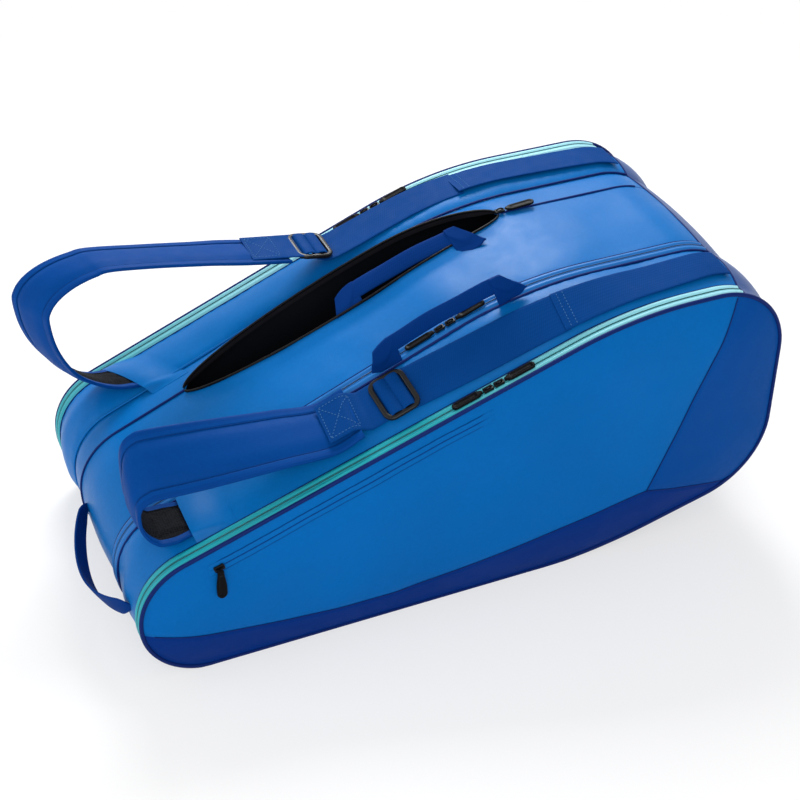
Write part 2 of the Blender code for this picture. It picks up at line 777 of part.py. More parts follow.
def rolled_lines(side, width, route, start_z, climb):
    """Lines of a strap that rolls inwards as it climbs, level up to start_z and fully rolled climb above it."""
    lines = []
    for y in strap_stations(side, width):
        reach = side * (side * STRAP_Y - y)
        lines.append([(x, y, z + reach * math.tan(NEAR_ROLL) * max(0, z - start_z) / climb) for x, z in route])
    return lines


def joined_lines(*groups):
    """Lines that run on from one group to the next."""
    return [sum(parts, []) for parts in zip(*groups)]


def arc(x, z, radius, start, end, steps=4):
    """Route points round a bend, from one angle in degrees to another."""
    points = []
    for step in range(steps + 1):
        angle = math.radians(start + (end - start) * step / steps)
        points.append((x + radius * math.cos(angle), z + radius * math.sin(angle)))
    return points


def rounded_rectangle(x, y, half_x, half_y, radius):
    """Outline of a rectangle with rounded corners, anticlockwise."""
    points = []
    for quarter, (sign_x, sign_y) in enumerate(((1, 1), (-1, 1), (-1, -1), (1, -1))):
        centre = (x + sign_x * (half_x - radius), y + sign_y * (half_y - radius))
        points += arc(*centre, radius, quarter * 90, quarter * 90 + 90, 3)
    return points


def level_cut(z, side):
    """A level cutting plane that keeps what is above it (side 1) or below it (side -1)."""
    return Vector((0, 0, z)), Vector((0, 0, side))


def upright_cut(x, side):
    """A cutting plane across the bag that keeps what is towards the head (side 1) or tail (side -1)."""
    return Vector((x, 0, 0)), Vector((side, 0, 0))


def build_band(prefix, side):
    """The webbing sewn along the top from the strap's stitching to the head seam."""
    cuts = [zip_cut(), upright_cut(STITCH_X, FAR)]
    stations = strap_stations(side, BAND_WIDTH)
    band(f"{prefix}_strap_band", stations, DEEP_BLUE, WEBBING, GAP + WEBBING, cuts)


def build_buckle(prefix, frame):
    """A two-slot adjuster: a rounded frame with a middle bar."""
    half_x, half_y = BUCKLE_LENGTH / 2, BUCKLE_WIDTH / 2
    outer = rounded_rectangle(0, 0, half_x, half_y, BUCKLE_CORNER)
    slot_half = (half_x - BUCKLE_RAIL * 1.5) / 2
    slot_x = BUCKLE_RAIL / 2 + slot_half
    slots = [
        rounded_rectangle(sign * slot_x, 0, slot_half, half_y - BUCKLE_RAIL, BUCKLE_RAIL / 3)
        for sign in (NEAR, FAR)
    ]
    flat_plate(f"{prefix}_strap_buckle", [outer, *slots], BUCKLE_HEIGHT, BLACK, frame, 0.3)


def near_bend_z():
    """Height of the near strap's bend, where its root ends and its pad begins."""
    bend_x = TAIL_X + NEAR_BEND_INSET + NEAR_BEND_RADIUS
    return top_z(bend_x, NEAR * STRAP_Y) + STRAP_LIFT + NEAR_BEND_RADIUS


def build_near_strap():
    """The near strap, folded back over its own root and lying along the top."""
    side = NEAR
    radius = NEAR_BEND_RADIUS
    bend_x = TAIL_X + NEAR_BEND_INSET + radius
    bend_z = near_bend_z()
    rest = lying_lines(side, PAD_WIDTH, [(SLOT_X, STRAP_LIFT), (SLOT_X - PAD, STRAP_LIFT)])
    turn = level_lines(side, PAD_WIDTH, arc(bend_x, bend_z, radius, 260, 160))
    root = ribbon("near_strap_root", joined_lines(rest, turn), DEEP_BLUE, PAD, Vector((-1, 0, -1)))
    cut_part(root, [level_cut(bend_z, NEAR)])

    over = PAD + STRAP_LIFT
    turn = rolled_lines(side, PAD_WIDTH, arc(bend_x, bend_z, radius, 200, 95, 6), bend_z, radius)
    rest = lying_lines(side, PAD_WIDTH, [(NEAR_LANDING_X, over), (PAD_HEAD_X, over)])
    pad = ribbon("near_strap_pad", joined_lines(turn, rest), DEEP_BLUE, PAD)
    cut_part(pad, [level_cut(bend_z + GAP, FAR)])

    tab_head = BUCKLE_X - BUCKLE_LENGTH / 2 - GAP
    low = STRAP_LIFT + WEBBING
    route = [(TAB_TAIL_X, over + GAP + WEBBING), (PAD_HEAD_X, over + GAP + WEBBING), (tab_head, low)]
    ribbon("near_strap_tab", lying_lines(side, BAND_WIDTH, route), DEEP_BLUE, WEBBING)

    lift = WEBBING + 4 * GAP + BUCKLE_HEIGHT / 2
    build_buckle("near", top_frame(BUCKLE_X, side * STRAP_Y, -lift, BAND_WIDTH / 2))
    ends = [upright_cut(BUCKLE_X, FAR), upright_cut(WEBBING_HEAD_X, NEAR)]
    stations = strap_stations(side, BAND_WIDTH)
    band("near_strap_webbing", stations, DEEP_BLUE, WEBBING, GAP + WEBBING, [zip_cut(), *ends])


def build_far_strap():
    """The far strap, standing up in an open loop from its root at the tail."""
    side = FAR
    top = HEIGHT + FAR_LOOP_RISE
    bend_z = HEIGHT - FAR_BEND_DROP
    radius = top - bend_z
    bend_x = TAIL_X - FAR_BEND_OUT + radius
    slot_z = top_z(SLOT_X, side * STRAP_Y)
    climb = bend_z - slot_z
    rest = lying_lines(side, PAD_WIDTH, [(SLOT_X, STRAP_LIFT)])
    reach = SLOT_X - (TAIL_X - FAR_BEND_OUT)
    rising = []
    for turn in FAR_ROOT_TURNS:
        rising.append((SLOT_X - reach * math.sin(turn), slot_z + climb * (1 - math.cos(turn))))
    rising += [(TAIL_X - FAR_BEND_OUT, bend_z), (TAIL_X - FAR_BEND_OUT, bend_z + PAD)]
    lines = joined_lines(rest, level_lines(side, PAD_WIDTH, rising))
    root = ribbon("far_strap_root", lines, DEEP_BLUE, PAD, Vector((-1, 0, -1)))
    cut_part(root, [level_cut(bend_z, NEAR)])

    fall = top - top_z(BUCKLE_X, side * STRAP_Y) - FAR_BUCKLE_RISE

    def height(x):
        """Height of the loop's upper leg, falling gently from the bend to the buckle."""
        return top - fall * (x - bend_x) / (BUCKLE_X - bend_x)

    spots = [bend_x + (PAD_HEAD_X - bend_x) * share / 3 for share in range(1, 4)]
    upper = arc(bend_x, bend_z, radius, 200, 90) + [(x, height(x)) for x in spots]
    pad = ribbon("far_strap_pad", level_lines(side, PAD_WIDTH, upper), DEEP_BLUE, PAD)
    cut_part(pad, [level_cut(bend_z + GAP, FAR)])

    tab_head = BUCKLE_X - BUCKLE_LENGTH / 2 - GAP
    route = [(x, height(x) + GAP + WEBBING) for x in (TAB_TAIL_X, PAD_HEAD_X, tab_head)]
    ribbon("far_strap_tab", level_lines(side, BAND_WIDTH, route), DEEP_BLUE, WEBBING)

    slope = Matrix.Rotation(math.atan2(fall, BUCKLE_X - bend_x), 4, "Y")
    place = Matrix.Translation((BUCKLE_X, side * STRAP_Y, height(BUCKLE_X)))
    build_buckle("far", place @ slope)
    under = BUCKLE_HEIGHT / 2 + 2 * GAP
    spots = (BUCKLE_X, BUCKLE_X + BUCKLE_LENGTH / 2 + PAD)
    near_end = level_lines(side, BAND_WIDTH, [(x, height(x) - under) for x in spots])
    spots = [FAR_LANDING_X + (WEBBING_HEAD_X - FAR_LANDING_X) * share / 3 for share in range(3)]
    route = [(x, STRAP_LIFT + WEBBING) for x in spots] + [(WEBBING_HEAD_X, 3 * GAP + WEBBING)]
    far_end = lying_lines(side, BAND_WIDTH, route)
    ribbon("far_strap_webbing", joined_lines(near_end, far_end), DEEP_BLUE, WEBBING)


# Handles


def build_carry_handle(name, y, lean, lift):
    """A webbing handle folded to a flat hoop, standing on its two sewn feet."""
    tail = Vector((HANDLE_TAIL_X, y, top_z(HANDLE_TAIL_X, y)))
    head = Vector((HANDLE_HEAD_X, y, top_z(HANDLE_HEAD_X, y)))
    along = (head - tail).normalized()
    across = Vector((0, 1, 0))
    out = along.cross(across)
    frame = Matrix((along, out, along.cross(out))).transposed().to_4x4()
    frame.translation = (tail + head) / 2 + out * lift
    reach = (head - tail).length / 2
    outside = reach + HANDLE_FOOT / 2
    inside = reach - HANDLE_FOOT / 2
    under = HANDLE_HEIGHT - HANDLE_GRIP
    half = [(outside, 0), (reach, HANDLE_HEIGHT)]
    inner = [(inside, 0), (inside - HANDLE_FOOT / 4, under)]
    outline = half + [(-u, v) for u, v in half[::-1]]
    outline += [(-u, v) for u, v in inner] + inner[::-1]
    turn = Matrix.Rotation(lean, 4, "X")
    flat_plate(name, [outline], HANDLE_THICKNESS, DEEP_BLUE, frame @ turn)


def build_grab_handle():
    """The webbing handle that stands out from the tail, its two ends rounded round the swing axis."""
    radius = GRAB_WIDTH / 2
    start_x = TAIL_X - GAP
    leg = []
    for step in range(1, GRAB_END_STEPS + 1):
        angle = math.pi / 2 * step / GRAB_END_STEPS
        leg.append((start_x - radius * (1 - math.cos(angle)), 0.0, radius * math.sin(angle)))
    turn = GRAB_REACH - radius
    for step in range(1, GRAB_END_STEPS + 1):
        angle = math.pi / 2 * step / GRAB_END_STEPS
        leg.append((start_x - radius - turn * math.sin(angle), -turn * (1 - math.cos(angle)), radius))
    span = GRAB_FAR_Y - GRAB_NEAR_Y
    route = [(x, GRAB_FAR_Y + y, half) for x, y, half in leg]
    route += [(x, GRAB_NEAR_Y - y, half) for x, y, half in leg[::-1]]
    lines = []
    for sign in (NEAR, FAR):
        line = []
        for x, y, half in route:
            droop = GRAB_DROOP * math.sin(math.pi * (GRAB_FAR_Y - y) / span)
            line.append((x, y, GRAB_Z - droop + sign * half))
        lines.append(line)
    ribbon("grab_handle", lines, DEEP_BLUE, GRAB_THICKNESS, Vector((-1, 0, 0)))


# Joint axes


def add_axis(name, place, parts, parent=None):
    """An empty on a joint's axis that carries the parts which move about it."""
    empty = bpy.data.objects.new(name, None)
    PARTS.objects.link(empty)
    empty.location = place
    movers = [PARTS.objects[part] for part in parts]
    for mover in movers:
        mover.parent = empty
        mover.matrix_parent_inverse = Matrix.Translation(place).inverted()
    if parent:
        empty.parent = parent
        empty.matrix_parent_inverse = Matrix.Translation(parent.location).inverted()
    return empty


def build_axes():
    """Empties for the bodies made of several parts; every other moving part has its origin on its axis."""
    module = [
        "near_top_gusset",
        "near_base_gusset",
        "near_partition",
        "near_base_board",
        "near_zip_inner_tape",
        "centre_zip_near_tape",
        "near_strap_band",
        "near_strap_webbing",
        "near_strap_root",
    ]
    hinge_y = CENTRE_ZIP_Y - MODULE_HINGE_IN
    near_module = add_axis("near_module_axis", Vector((0, hinge_y, 0)), module)
    door = ["side_panel", "head_patch", "base_patch", "zip_outer_tape"]
    near_door = [f"near_{part}" for part in door] + ["pocket_zip_tape", "pocket_bag"]
    add_axis("near_door_axis", Vector((0, -HALF_WIDTH, 0)), near_door, near_module)
    add_axis("far_door_axis", Vector((0, HALF_WIDTH, 0)), [f"far_{part}" for part in door])
    strap = ["strap_pad", "strap_tab", "strap_buckle"]
    near_bend = Vector((TAIL_X + NEAR_BEND_INSET, NEAR * STRAP_Y, near_bend_z()))
    far_bend = Vector((TAIL_X - FAR_BEND_OUT, FAR * STRAP_Y, HEIGHT - FAR_BEND_DROP))
    add_axis("near_strap_axis", near_bend, [f"near_{part}" for part in strap], near_module)
    add_axis("far_strap_axis", far_bend, [f"far_{part}" for part in strap])
    swing = Vector((TAIL_X - GAP - GRAB_WIDTH / 2, (GRAB_FAR_Y + GRAB_NEAR_Y) / 2, GRAB_Z))
    add_axis("grab_handle_axis", swing, ["grab_handle"])


PARTS = None
CUTTERS = None


def main():
    """Build every sub-part of the bag."""
    global PARTS, CUTTERS
    clear_scene()
    PARTS = new_collection("racket_tournament_bag")
    CUTTERS = new_collection("cutters")
    build_body_sheets()
    build_shoe_teeth()
    build_tapes()
    build_sliders()
    build_side_panel("near", NEAR)
    build_side_panel("far", FAR)
    build_side_pocket()
    build_band("near", NEAR)
    build_band("far", FAR)
    build_near_strap()
    build_far_strap()
    build_carry_handle("near_handle", HANDLE_NEAR_Y, NEAR_HANDLE_LEAN, NEAR_HANDLE_LIFT)
    build_carry_handle("far_handle", HANDLE_FAR_Y, FAR_HANDLE_LEAN, FAR_HANDLE_LIFT)
    build_grab_handle()
    build_axes()


main()
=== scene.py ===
"""Looks of a racket tournament bag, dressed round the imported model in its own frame.

Metres, +Z up. X runs from the narrow tail to the wide head, Y from the near side to the far side.
"""

import logging
import math
from dataclasses import dataclass
from enum import Enum
from functools import lru_cache
from typing import Callable, Sequence

import bpy
import numpy as np
from mathutils import Matrix, Vector, noise


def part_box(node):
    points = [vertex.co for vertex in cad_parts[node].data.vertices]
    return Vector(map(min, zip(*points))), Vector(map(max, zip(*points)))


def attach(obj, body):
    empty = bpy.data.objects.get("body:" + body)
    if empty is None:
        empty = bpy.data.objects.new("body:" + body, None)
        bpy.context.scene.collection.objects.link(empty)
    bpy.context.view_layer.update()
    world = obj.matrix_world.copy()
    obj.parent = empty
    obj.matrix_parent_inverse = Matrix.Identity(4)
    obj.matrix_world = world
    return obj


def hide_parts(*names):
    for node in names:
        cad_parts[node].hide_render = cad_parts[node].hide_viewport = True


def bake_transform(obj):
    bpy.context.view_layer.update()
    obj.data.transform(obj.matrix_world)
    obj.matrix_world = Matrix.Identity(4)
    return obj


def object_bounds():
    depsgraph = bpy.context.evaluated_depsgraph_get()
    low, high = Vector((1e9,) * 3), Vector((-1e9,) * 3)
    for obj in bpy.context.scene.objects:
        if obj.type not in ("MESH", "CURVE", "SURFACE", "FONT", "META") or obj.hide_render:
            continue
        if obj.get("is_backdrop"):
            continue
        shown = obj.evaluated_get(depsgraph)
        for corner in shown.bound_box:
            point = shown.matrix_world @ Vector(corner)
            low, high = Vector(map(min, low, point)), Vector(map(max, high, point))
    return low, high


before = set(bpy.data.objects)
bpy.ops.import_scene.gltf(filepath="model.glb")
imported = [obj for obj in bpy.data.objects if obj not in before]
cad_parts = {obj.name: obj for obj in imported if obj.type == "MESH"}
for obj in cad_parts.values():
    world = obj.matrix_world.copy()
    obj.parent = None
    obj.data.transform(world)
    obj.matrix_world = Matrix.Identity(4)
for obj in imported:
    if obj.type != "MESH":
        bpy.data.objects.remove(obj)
CAD_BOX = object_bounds()
LOG = logging.getLogger("bag")

Object = bpy.types.Object
Material = bpy.types.Material
Place = Callable[[float, float], Vector]
Colour = tuple[float, float, float]
Section = Sequence[tuple[float, float]]


class Side(Enum):
    """The two long sides of the bag, valued by the sign of their y."""

    NEAR = -1
    FAR = 1

    @property
    def word(self) -> str:
        """The side's name as node names start with it."""
        return self.name.lower()


class Part(Enum):
    """The two sheets that wrap a compartment."""

    TOP = "top"
    BASE = "base"


class Coords(Enum):
    """Where a pattern takes its place from: the cloth's own map in metres, or the bag's frame."""

    CLOTH = "UV"
    BAG = "Object"


def ease(share: float) -> float:
    """Smooth step from 0 to 1."""
    share = min(1.0, max(0.0, share))
    return share * share * (3.0 - 2.0 * share)


def mix(a: float, b: float, share: float) -> float:
    """Value between a and b."""
    return a + (b - a) * share


def crease(place: Vector, size: float, depth: float, seed: float = 0.0) -> float:
    """Soft unevenness of a sewn surface.

    Args:
        place: Point on the surface.
        size: Length of one swell.
        depth: Greatest height of a swell.
        seed: Shifts the pattern, so that two surfaces differ.

    Returns:
        Height to add along the surface's normal.
    """
    return depth * noise.noise(place / size + Vector((seed, seed * 0.7, 0.0)))


# The form of the body


@dataclass(frozen=True)
class BagForm:
    """Sizes and outline of the body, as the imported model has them."""

    length: float = 0.760
    height: float = 0.325
    tail_top: float = 0.132
    tail_radius: float = 0.076
    shoulder_back: float = 0.192
    shoulder_radius: float = 0.443
    head_top_radius: float = 0.090
    head_foot: float = 0.062
    head_foot_radius: float = 0.100
    belly_back: float = 0.227
    belly_radius: float = 0.600
    ridge_shoulder_back: float = 0.295
    ridge_rise: float = 0.006
    crown_power: int = 4
    far_edge_share: float = 0.8
    half_width: float = 0.184
    zip_y: float = 0.175
    strap_y: float = 0.130
    centre_zip_y: float = -0.085
    far_seam_y: float = 0.097
    shoe_zip_y: float = 0.056
    tape_width: float = 0.009
    tail_seam: tuple[float, float] = (0.022, 0.022)
    head_seam: tuple[float, float] = (0.056, 0.009)
    near_bulge: float = 0.0035
    centre_bulge: float = 0.0035
    far_bulge: float = 0.0055
    arc_steps: int = 18

    @property
    def tail_x(self) -> float:
        """The tail's end."""
        return -self.length / 2

    @property
    def head_x(self) -> float:
        """The head's end."""
        return self.length / 2

    def corners(self, y: float) -> list[tuple[float, float, float]]:
        """Corners of the outline at station y, as (x, z, radius), clockwise from the tail's foot."""
        edge = self.far_edge_share if y > 0 else 0.0
        fall = min(1.0, (abs(y) / (self.zip_y - self.tape_width)) ** self.crown_power)
        share = 1.0 - (1.0 - edge) * fall
        shoulder = self.head_x - mix(self.shoulder_back, self.ridge_shoulder_back, share)
        top = self.height + self.ridge_rise * share
        return [
            (self.tail_x, 0.0, self.tail_radius),
            (self.tail_x, self.tail_top, self.tail_radius),
            (shoulder, top, self.shoulder_radius),
            (self.head_x, top, self.head_top_radius),
            (self.head_x, self.head_foot, self.head_foot_radius),
            (self.head_x - self.belly_back, 0.0, self.belly_radius),
        ]

    @lru_cache(maxsize=None)
    def outline(self, y: float) -> np.ndarray:
        """Closed outline at station y, clockwise from the tail's foot.

        Args:
            y: Station across the bag.

        Returns:
            Rows of (x, z).
        """
        corners = self.corners(y)
        count = len(corners)
        rows = []
        for i, (x, z, radius) in enumerate(corners):
            corner = Vector((x, z))
            back = (Vector(corners[i - 1][:2]) - corner).normalized()
            ahead = (Vector(corners[(i + 1) % count][:2]) - corner).normalized()
            half = back.angle(ahead) / 2
            centre = corner + (back + ahead).normalized() * radius / math.sin(half)
            start = corner + back * radius / math.tan(half) - centre
            sweep = math.pi - 2 * half
            for step in range(self.arc_steps + 1):
                turn = Matrix.Rotation(-sweep * step / self.arc_steps, 2)
                rows.append(centre + turn @ start)
        return np.array([tuple(row) for row in rows])

    def chain(self, y: float, part: Part) -> np.ndarray:
        """The outline's upper or lower run from the tail's nose to the head's end, x rising."""
        rows = self.outline(round(y, 4))
        per = self.arc_steps + 1
        if part is Part.TOP:
            return rows[per : 4 * per]
        lower = np.vstack([rows[4 * per :], rows[:per]])
        return lower[::-1]

    def top_z(self, x: float, y: float) -> float:
        """Height of the top face over (x, y)."""
        run = self.chain(y, Part.TOP)
        return float(np.interp(x, run[:, 0], run[:, 1]))

    def base_z(self, x: float, y: float) -> float:
        """Height of the base under (x, y)."""
        run = self.chain(y, Part.BASE)
        return float(np.interp(x, run[:, 0], run[:, 1]))

    @lru_cache(maxsize=None)
    def path(self, y: float, part: Part) -> tuple[np.ndarray, np.ndarray]:
        """A sheet's run round the outline between the tail seam and the head seam.

        Args:
            y: Station across the bag.
            part: Which of the two sheets.

        Returns:
            Points as rows of (x, z), and the length up to each of them.
        """
        rows = self.outline(y)
        rows = np.vstack([rows, rows[:1]])
        tail = np.array((self.tail_x + self.tail_seam[0], self.tail_seam[1]))
        head = np.array((self.head_x - self.head_seam[0], self.height - self.head_seam[1]))
        along = (head - tail) / np.linalg.norm(head - tail)
        side = (rows - tail) @ np.array((-along[1], along[0]))
        up = int(np.where((side[:-1] < 0) & (side[1:] >= 0))[0][0])
        down = int(np.where((side[:-1] >= 0) & (side[1:] < 0))[0][0])

        def crossing(i: int) -> np.ndarray:
            """Where the outline meets the seam plane after row i."""
            share = side[i] / (side[i] - side[i + 1])
            return rows[i] + (rows[i + 1] - rows[i]) * share

        if part is Part.TOP:
            run = np.vstack([crossing(up), rows[up + 1 : down + 1], crossing(down)])
        else:
            run = np.vstack([crossing(down), rows[down + 1 : -1], rows[: up + 1], crossing(up)])
        steps = np.linalg.norm(np.diff(run, axis=0), axis=1)
        return run, np.concatenate([[0.0], np.cumsum(steps)])

    def span(self, y: float, part: Part = Part.TOP) -> float:
        """Length of a sheet along its run."""
        return float(self.path(round(y, 4), part)[1][-1])

    def place(self, share: float, y: float, part: Part = Part.TOP, lift: float = 0.0) -> Vector:
        """A point on a sheet.

        Args:
            share: How far along the run, from 0 to 1.
            y: Station across the bag.
            part: Which of the two sheets.
            lift: Height above the outline, straight out.

        Returns:
            The point in the bag's frame.
        """
        run, lengths = self.path(round(y, 4), part)
        at = share * lengths[-1]
        reach = 0.002
        x, z = np.interp(at, lengths, run[:, 0]), np.interp(at, lengths, run[:, 1])
        ends = np.clip((at - reach, at + reach), 0.0, lengths[-1])
        dx = float(np.diff(np.interp(ends, lengths, run[:, 0]))[0])
        dz = float(np.diff(np.interp(ends, lengths, run[:, 1]))[0])
        size = math.hypot(dx, dz)
        return Vector((x - dz / size * lift, y, z + dx / size * lift))

    def share_at(self, x: float, y: float) -> float:
        """How far along the top run its slope passes x."""
        run, lengths = self.path(round(y, 4), Part.TOP)
        nose = int(np.argmin(run[:, 0]))
        return float(np.interp(x, run[nose:, 0], lengths[nose:]) / lengths[-1])

    def bulge(self, y: float) -> float:
        """How far the filled top stands out between its seams at station y."""
        inner = self.centre_zip_y
        fields = (
            (-self.zip_y + self.tape_width, inner - self.tape_width, self.near_bulge),
            (inner + self.tape_width, self.far_seam_y, self.centre_bulge),
            (self.far_seam_y, self.zip_y - self.tape_width, self.far_bulge),
        )
        for low, high, rise in fields:
            if low < y < high:
                return rise * (1.0 - (2.0 * (y - low) / (high - low) - 1.0) ** 2)
        return 0.0

    def on_top(self, x: float, y: float, lift: float = 0.0) -> Vector:
        """A point of the top over (x, y), lift above the bulging cloth."""
        return self.place(self.share_at(x, y), y, Part.TOP, self.bulge(y) + lift)

    def seat(self, x: float, y: float, lift: float = 0.0, spread: float = 0.0) -> Matrix:
        """Placement on the top: local X towards the head, local Z straight out.

        Args:
            x: Place along the bag.
            y: Station across the bag.
            lift: Height above the outline.
            spread: Reach to either side over which the slope across is taken; none keeps local Y level.

        Returns:
            The placement as a matrix.
        """
        reach = 0.004
        along = self.place(self.share_at(x + reach, y), y) - self.place(self.share_at(x - reach, y), y)
        along.normalize()
        across = Vector((0.0, 1.0, 0.0))
        if spread:
            rise = self.top_z(x, y + spread) - self.top_z(x, y - spread)
            across = Vector((0.0, 2 * spread, rise)).normalized()
        out = along.cross(across).normalized()
        seat = Matrix((along, out.cross(along), out)).transposed().to_4x4()
        seat.translation = Vector((x, y, self.top_z(x, y))) + out * lift
        return seat


FORM = BagForm()
FAR_SEAM_SHOWS_X = -0.080


# Tools of the workshop


def deselect() -> None:
    """Leave edit mode and select nothing."""
    if bpy.context.mode != "OBJECT":
        bpy.ops.object.mode_set(mode="OBJECT")
    bpy.ops.object.select_all(action="DESELECT")


def pick(obj: Object) -> None:
    """Make one object the only one selected."""
    deselect()
    obj.select_set(True)
    bpy.context.view_layer.objects.active = obj


def named(name: str) -> Object:
    """Name the object that an operator has just added."""
    obj = bpy.context.object
    obj.name = name
    obj.data.name = name
    return obj


def apply(obj: Object, kind: str, **settings: object) -> None:
    """Add a modifier with its settings and apply it."""
    pick(obj)
    modifier = obj.modifiers.new(kind.lower(), kind)
    for key, value in settings.items():
        setattr(modifier, key, value)
    bpy.ops.object.modifier_apply(modifier=modifier.name)


def smooth(obj: Object, angle: float = 45.0) -> None:
    """Shade an object smooth, with its sharp edges kept."""
    pick(obj)
    bpy.ops.object.shade_smooth_by_angle(angle=math.radians(angle))


def laid_grid(name: str, cells: tuple[int, int], place: Place, size: tuple[float, float]) -> Object:
    """Add a grid and lay each of its vertices on a surface.

    Args:
        name: Name of the piece.
        cells: Faces along and across.
        place: Gives the point for a share along and a share across.
        size: Length and width of the cloth, which its map keeps in metres.

    Returns:
        The new object.
    """
    deselect()
    bpy.ops.mesh.primitive_grid_add(x_subdivisions=cells[0], y_subdivisions=cells[1], size=1.0)
    obj = named(name)
    for vert in obj.data.vertices:
        vert.co = place(vert.co.x + 0.5, vert.co.y + 0.5)
    for loop in obj.data.uv_layers[0].data:
        loop.uv = (loop.uv.x * size[0], loop.uv.y * size[1])
    obj.data.update()
    return obj


def in_edit(obj: Object, *steps: Callable[[], object]) -> None:
    """Run mesh operators on the whole of an object in edit mode."""
    pick(obj)
    bpy.ops.object.mode_set(mode="EDIT")
    for step in steps:
        bpy.ops.mesh.select_all(action="SELECT")
        step()
    bpy.ops.object.mode_set(mode="OBJECT")


def merge(distance: float = 2e-5) -> Callable[[], object]:
    """A step that merges vertices which lie on each other."""
    return lambda: bpy.ops.mesh.remove_doubles(threshold=distance)


def cap() -> Callable[[], object]:
    """A step that closes open ends."""
    return lambda: bpy.ops.mesh.fill_holes(sides=0)


def face_out() -> Callable[[], object]:
    """A step that turns all faces outwards."""
    return lambda: bpy.ops.mesh.normals_make_consistent(inside=False)


def turn_to(obj: Object, outwards: Vector) -> None:
    """Turn an open surface so that most of its faces look along a direction."""
    score = sum(face.normal.dot(outwards) * face.area for face in obj.data.polygons)
    if score < 0:
        in_edit(obj, lambda: bpy.ops.mesh.flip_normals())


def thicken(obj: Object, depth: float, lined: bool = False) -> None:
    """Give a sheet its thickness behind its face, with a lining as second material if asked."""
    offset = 1 if lined else 0
    apply(obj, "SOLIDIFY", thickness=depth, offset=-1.0, material_offset=offset)


def join(name: str, pieces: Sequence[Object]) -> Object:
    """Make one object of several."""
    pick(pieces[0])
    for piece in pieces:
        piece.select_set(True)
    if len(pieces) > 1:
        bpy.ops.object.join()
    return named(name)


@dataclass(frozen=True)
class Station:
    """One cross-section's place on a strap's route."""

    centre: Vector
    across: Vector
    out: Vector
    spread: float = 1.0


def stations_of(
    centres: Sequence[Vector], across: Sequence[Vector], spreads: Sequence[float] | None = None
) -> list[Station]:
    """Cross-section places along a route.

    Args:
        centres: Points of the route.
        across: Direction of the strap's width at each point.
        spreads: Share of the section's width at each point, full where none is given.

    Returns:
        The places, each with the direction that its face looks.
    """
    places = []
    last = len(centres) - 1
    for i, centre in enumerate(centres):
        along = (centres[min(i + 1, last)] - centres[max(i - 1, 0)]).normalized()
        width = across[i].normalized()
        spread = spreads[i] if spreads else 1.0
        places.append(Station(centre, width, along.cross(width).normalized(), spread))
    return places


def swept(name: str, route: Sequence[Station], section: Section, closed: bool = False) -> Object:
    """Sweep a closed cross-section along a route.

    Args:
        name: Name of the piece.
        route: Places of the cross-section.
        section: Closed outline as (across, out) pairs, in metres.
        closed: Whether the route runs back into its start.

    Returns:
        The new object, its open ends capped.
    """
    count = len(section)
    stops = len(route) if closed else len(route) - 1

    def place(u: float, v: float) -> Vector:
        """Point of the sweep."""
        stop = route[round(u * stops) % len(route)]
        a, out = section[round(v * count) % count]
        return stop.centre + stop.across * a * stop.spread + stop.out * out

    length = sum((b.centre - a.centre).length for a, b in zip(route, route[1:]))
    girth = sum(math.dist(section[i - 1], section[i]) for i in range(count))
    obj = laid_grid(name, (stops, count), place, (length, girth))
    steps = [merge()] if closed else [merge(), cap()]
    in_edit(obj, *steps, face_out())
    return obj


def tube(name: str, points: Sequence[Vector], radius: float, closed: bool = False, sides: int = 2) -> Object:
    """A cord or piping along points.

    Args:
        name: Name of the piece.
        points: Route of the middle.
        radius: Half its thickness.
        closed: Whether it runs back into its start.
        sides: Roundness, as the curve's bevel resolution.

    Returns:
        The new object as a mesh.
    """
    curve = bpy.data.curves.new(name, "CURVE")
    curve.dimensions = "3D"
    curve.bevel_depth = radius
    curve.bevel_resolution = sides
    curve.use_fill_caps = not closed
    spline = curve.splines.new("POLY")
    spline.points.add(len(points) - 1)
    for point, place in zip(spline.points, points):
        point.co = (*place, 1.0)
    spline.use_cyclic_u = closed
    obj = bpy.data.objects.new(name, curve)
    bpy.context.scene.collection.objects.link(obj)
    pick(obj)
    bpy.ops.object.convert(target="MESH")
    obj = named(name)
    in_edit(obj, merge(), face_out())
    smooth(obj, 60)
    return obj


def smooth_route(points: Sequence[Vector], count: int) -> list[Vector]:
    """Evenly spaced points of a smooth curve through the given ones.

    Args:
        points: Points that the curve passes.
        count: How many points to return.

    Returns:
        Points along the curve.
    """
    ends = [2 * points[0] - points[1], *points, 2 * points[-1] - points[-2]]
    dense = []
    for a, b, c, d in zip(ends, ends[1:], ends[2:], ends[3:]):
        for step in range(16):
            t = step / 16
            pull = (b * 2 + (c - a) * t + (a * 2 - b * 5 + c * 4 - d) * t**2)
            dense.append((pull + (b * 3 - a - c * 3 + d) * t**3) / 2)
    dense.append(points[-1])
    rows = np.array([tuple(point) for point in dense])
    lengths = np.concatenate([[0.0], np.cumsum(np.linalg.norm(np.diff(rows, axis=0), axis=1))])
    spots = np.linspace(0.0, lengths[-1], count)
    return [Vector([np.interp(spot, lengths, rows[:, k]) for k in range(3)]) for spot in spots]


# Finishes


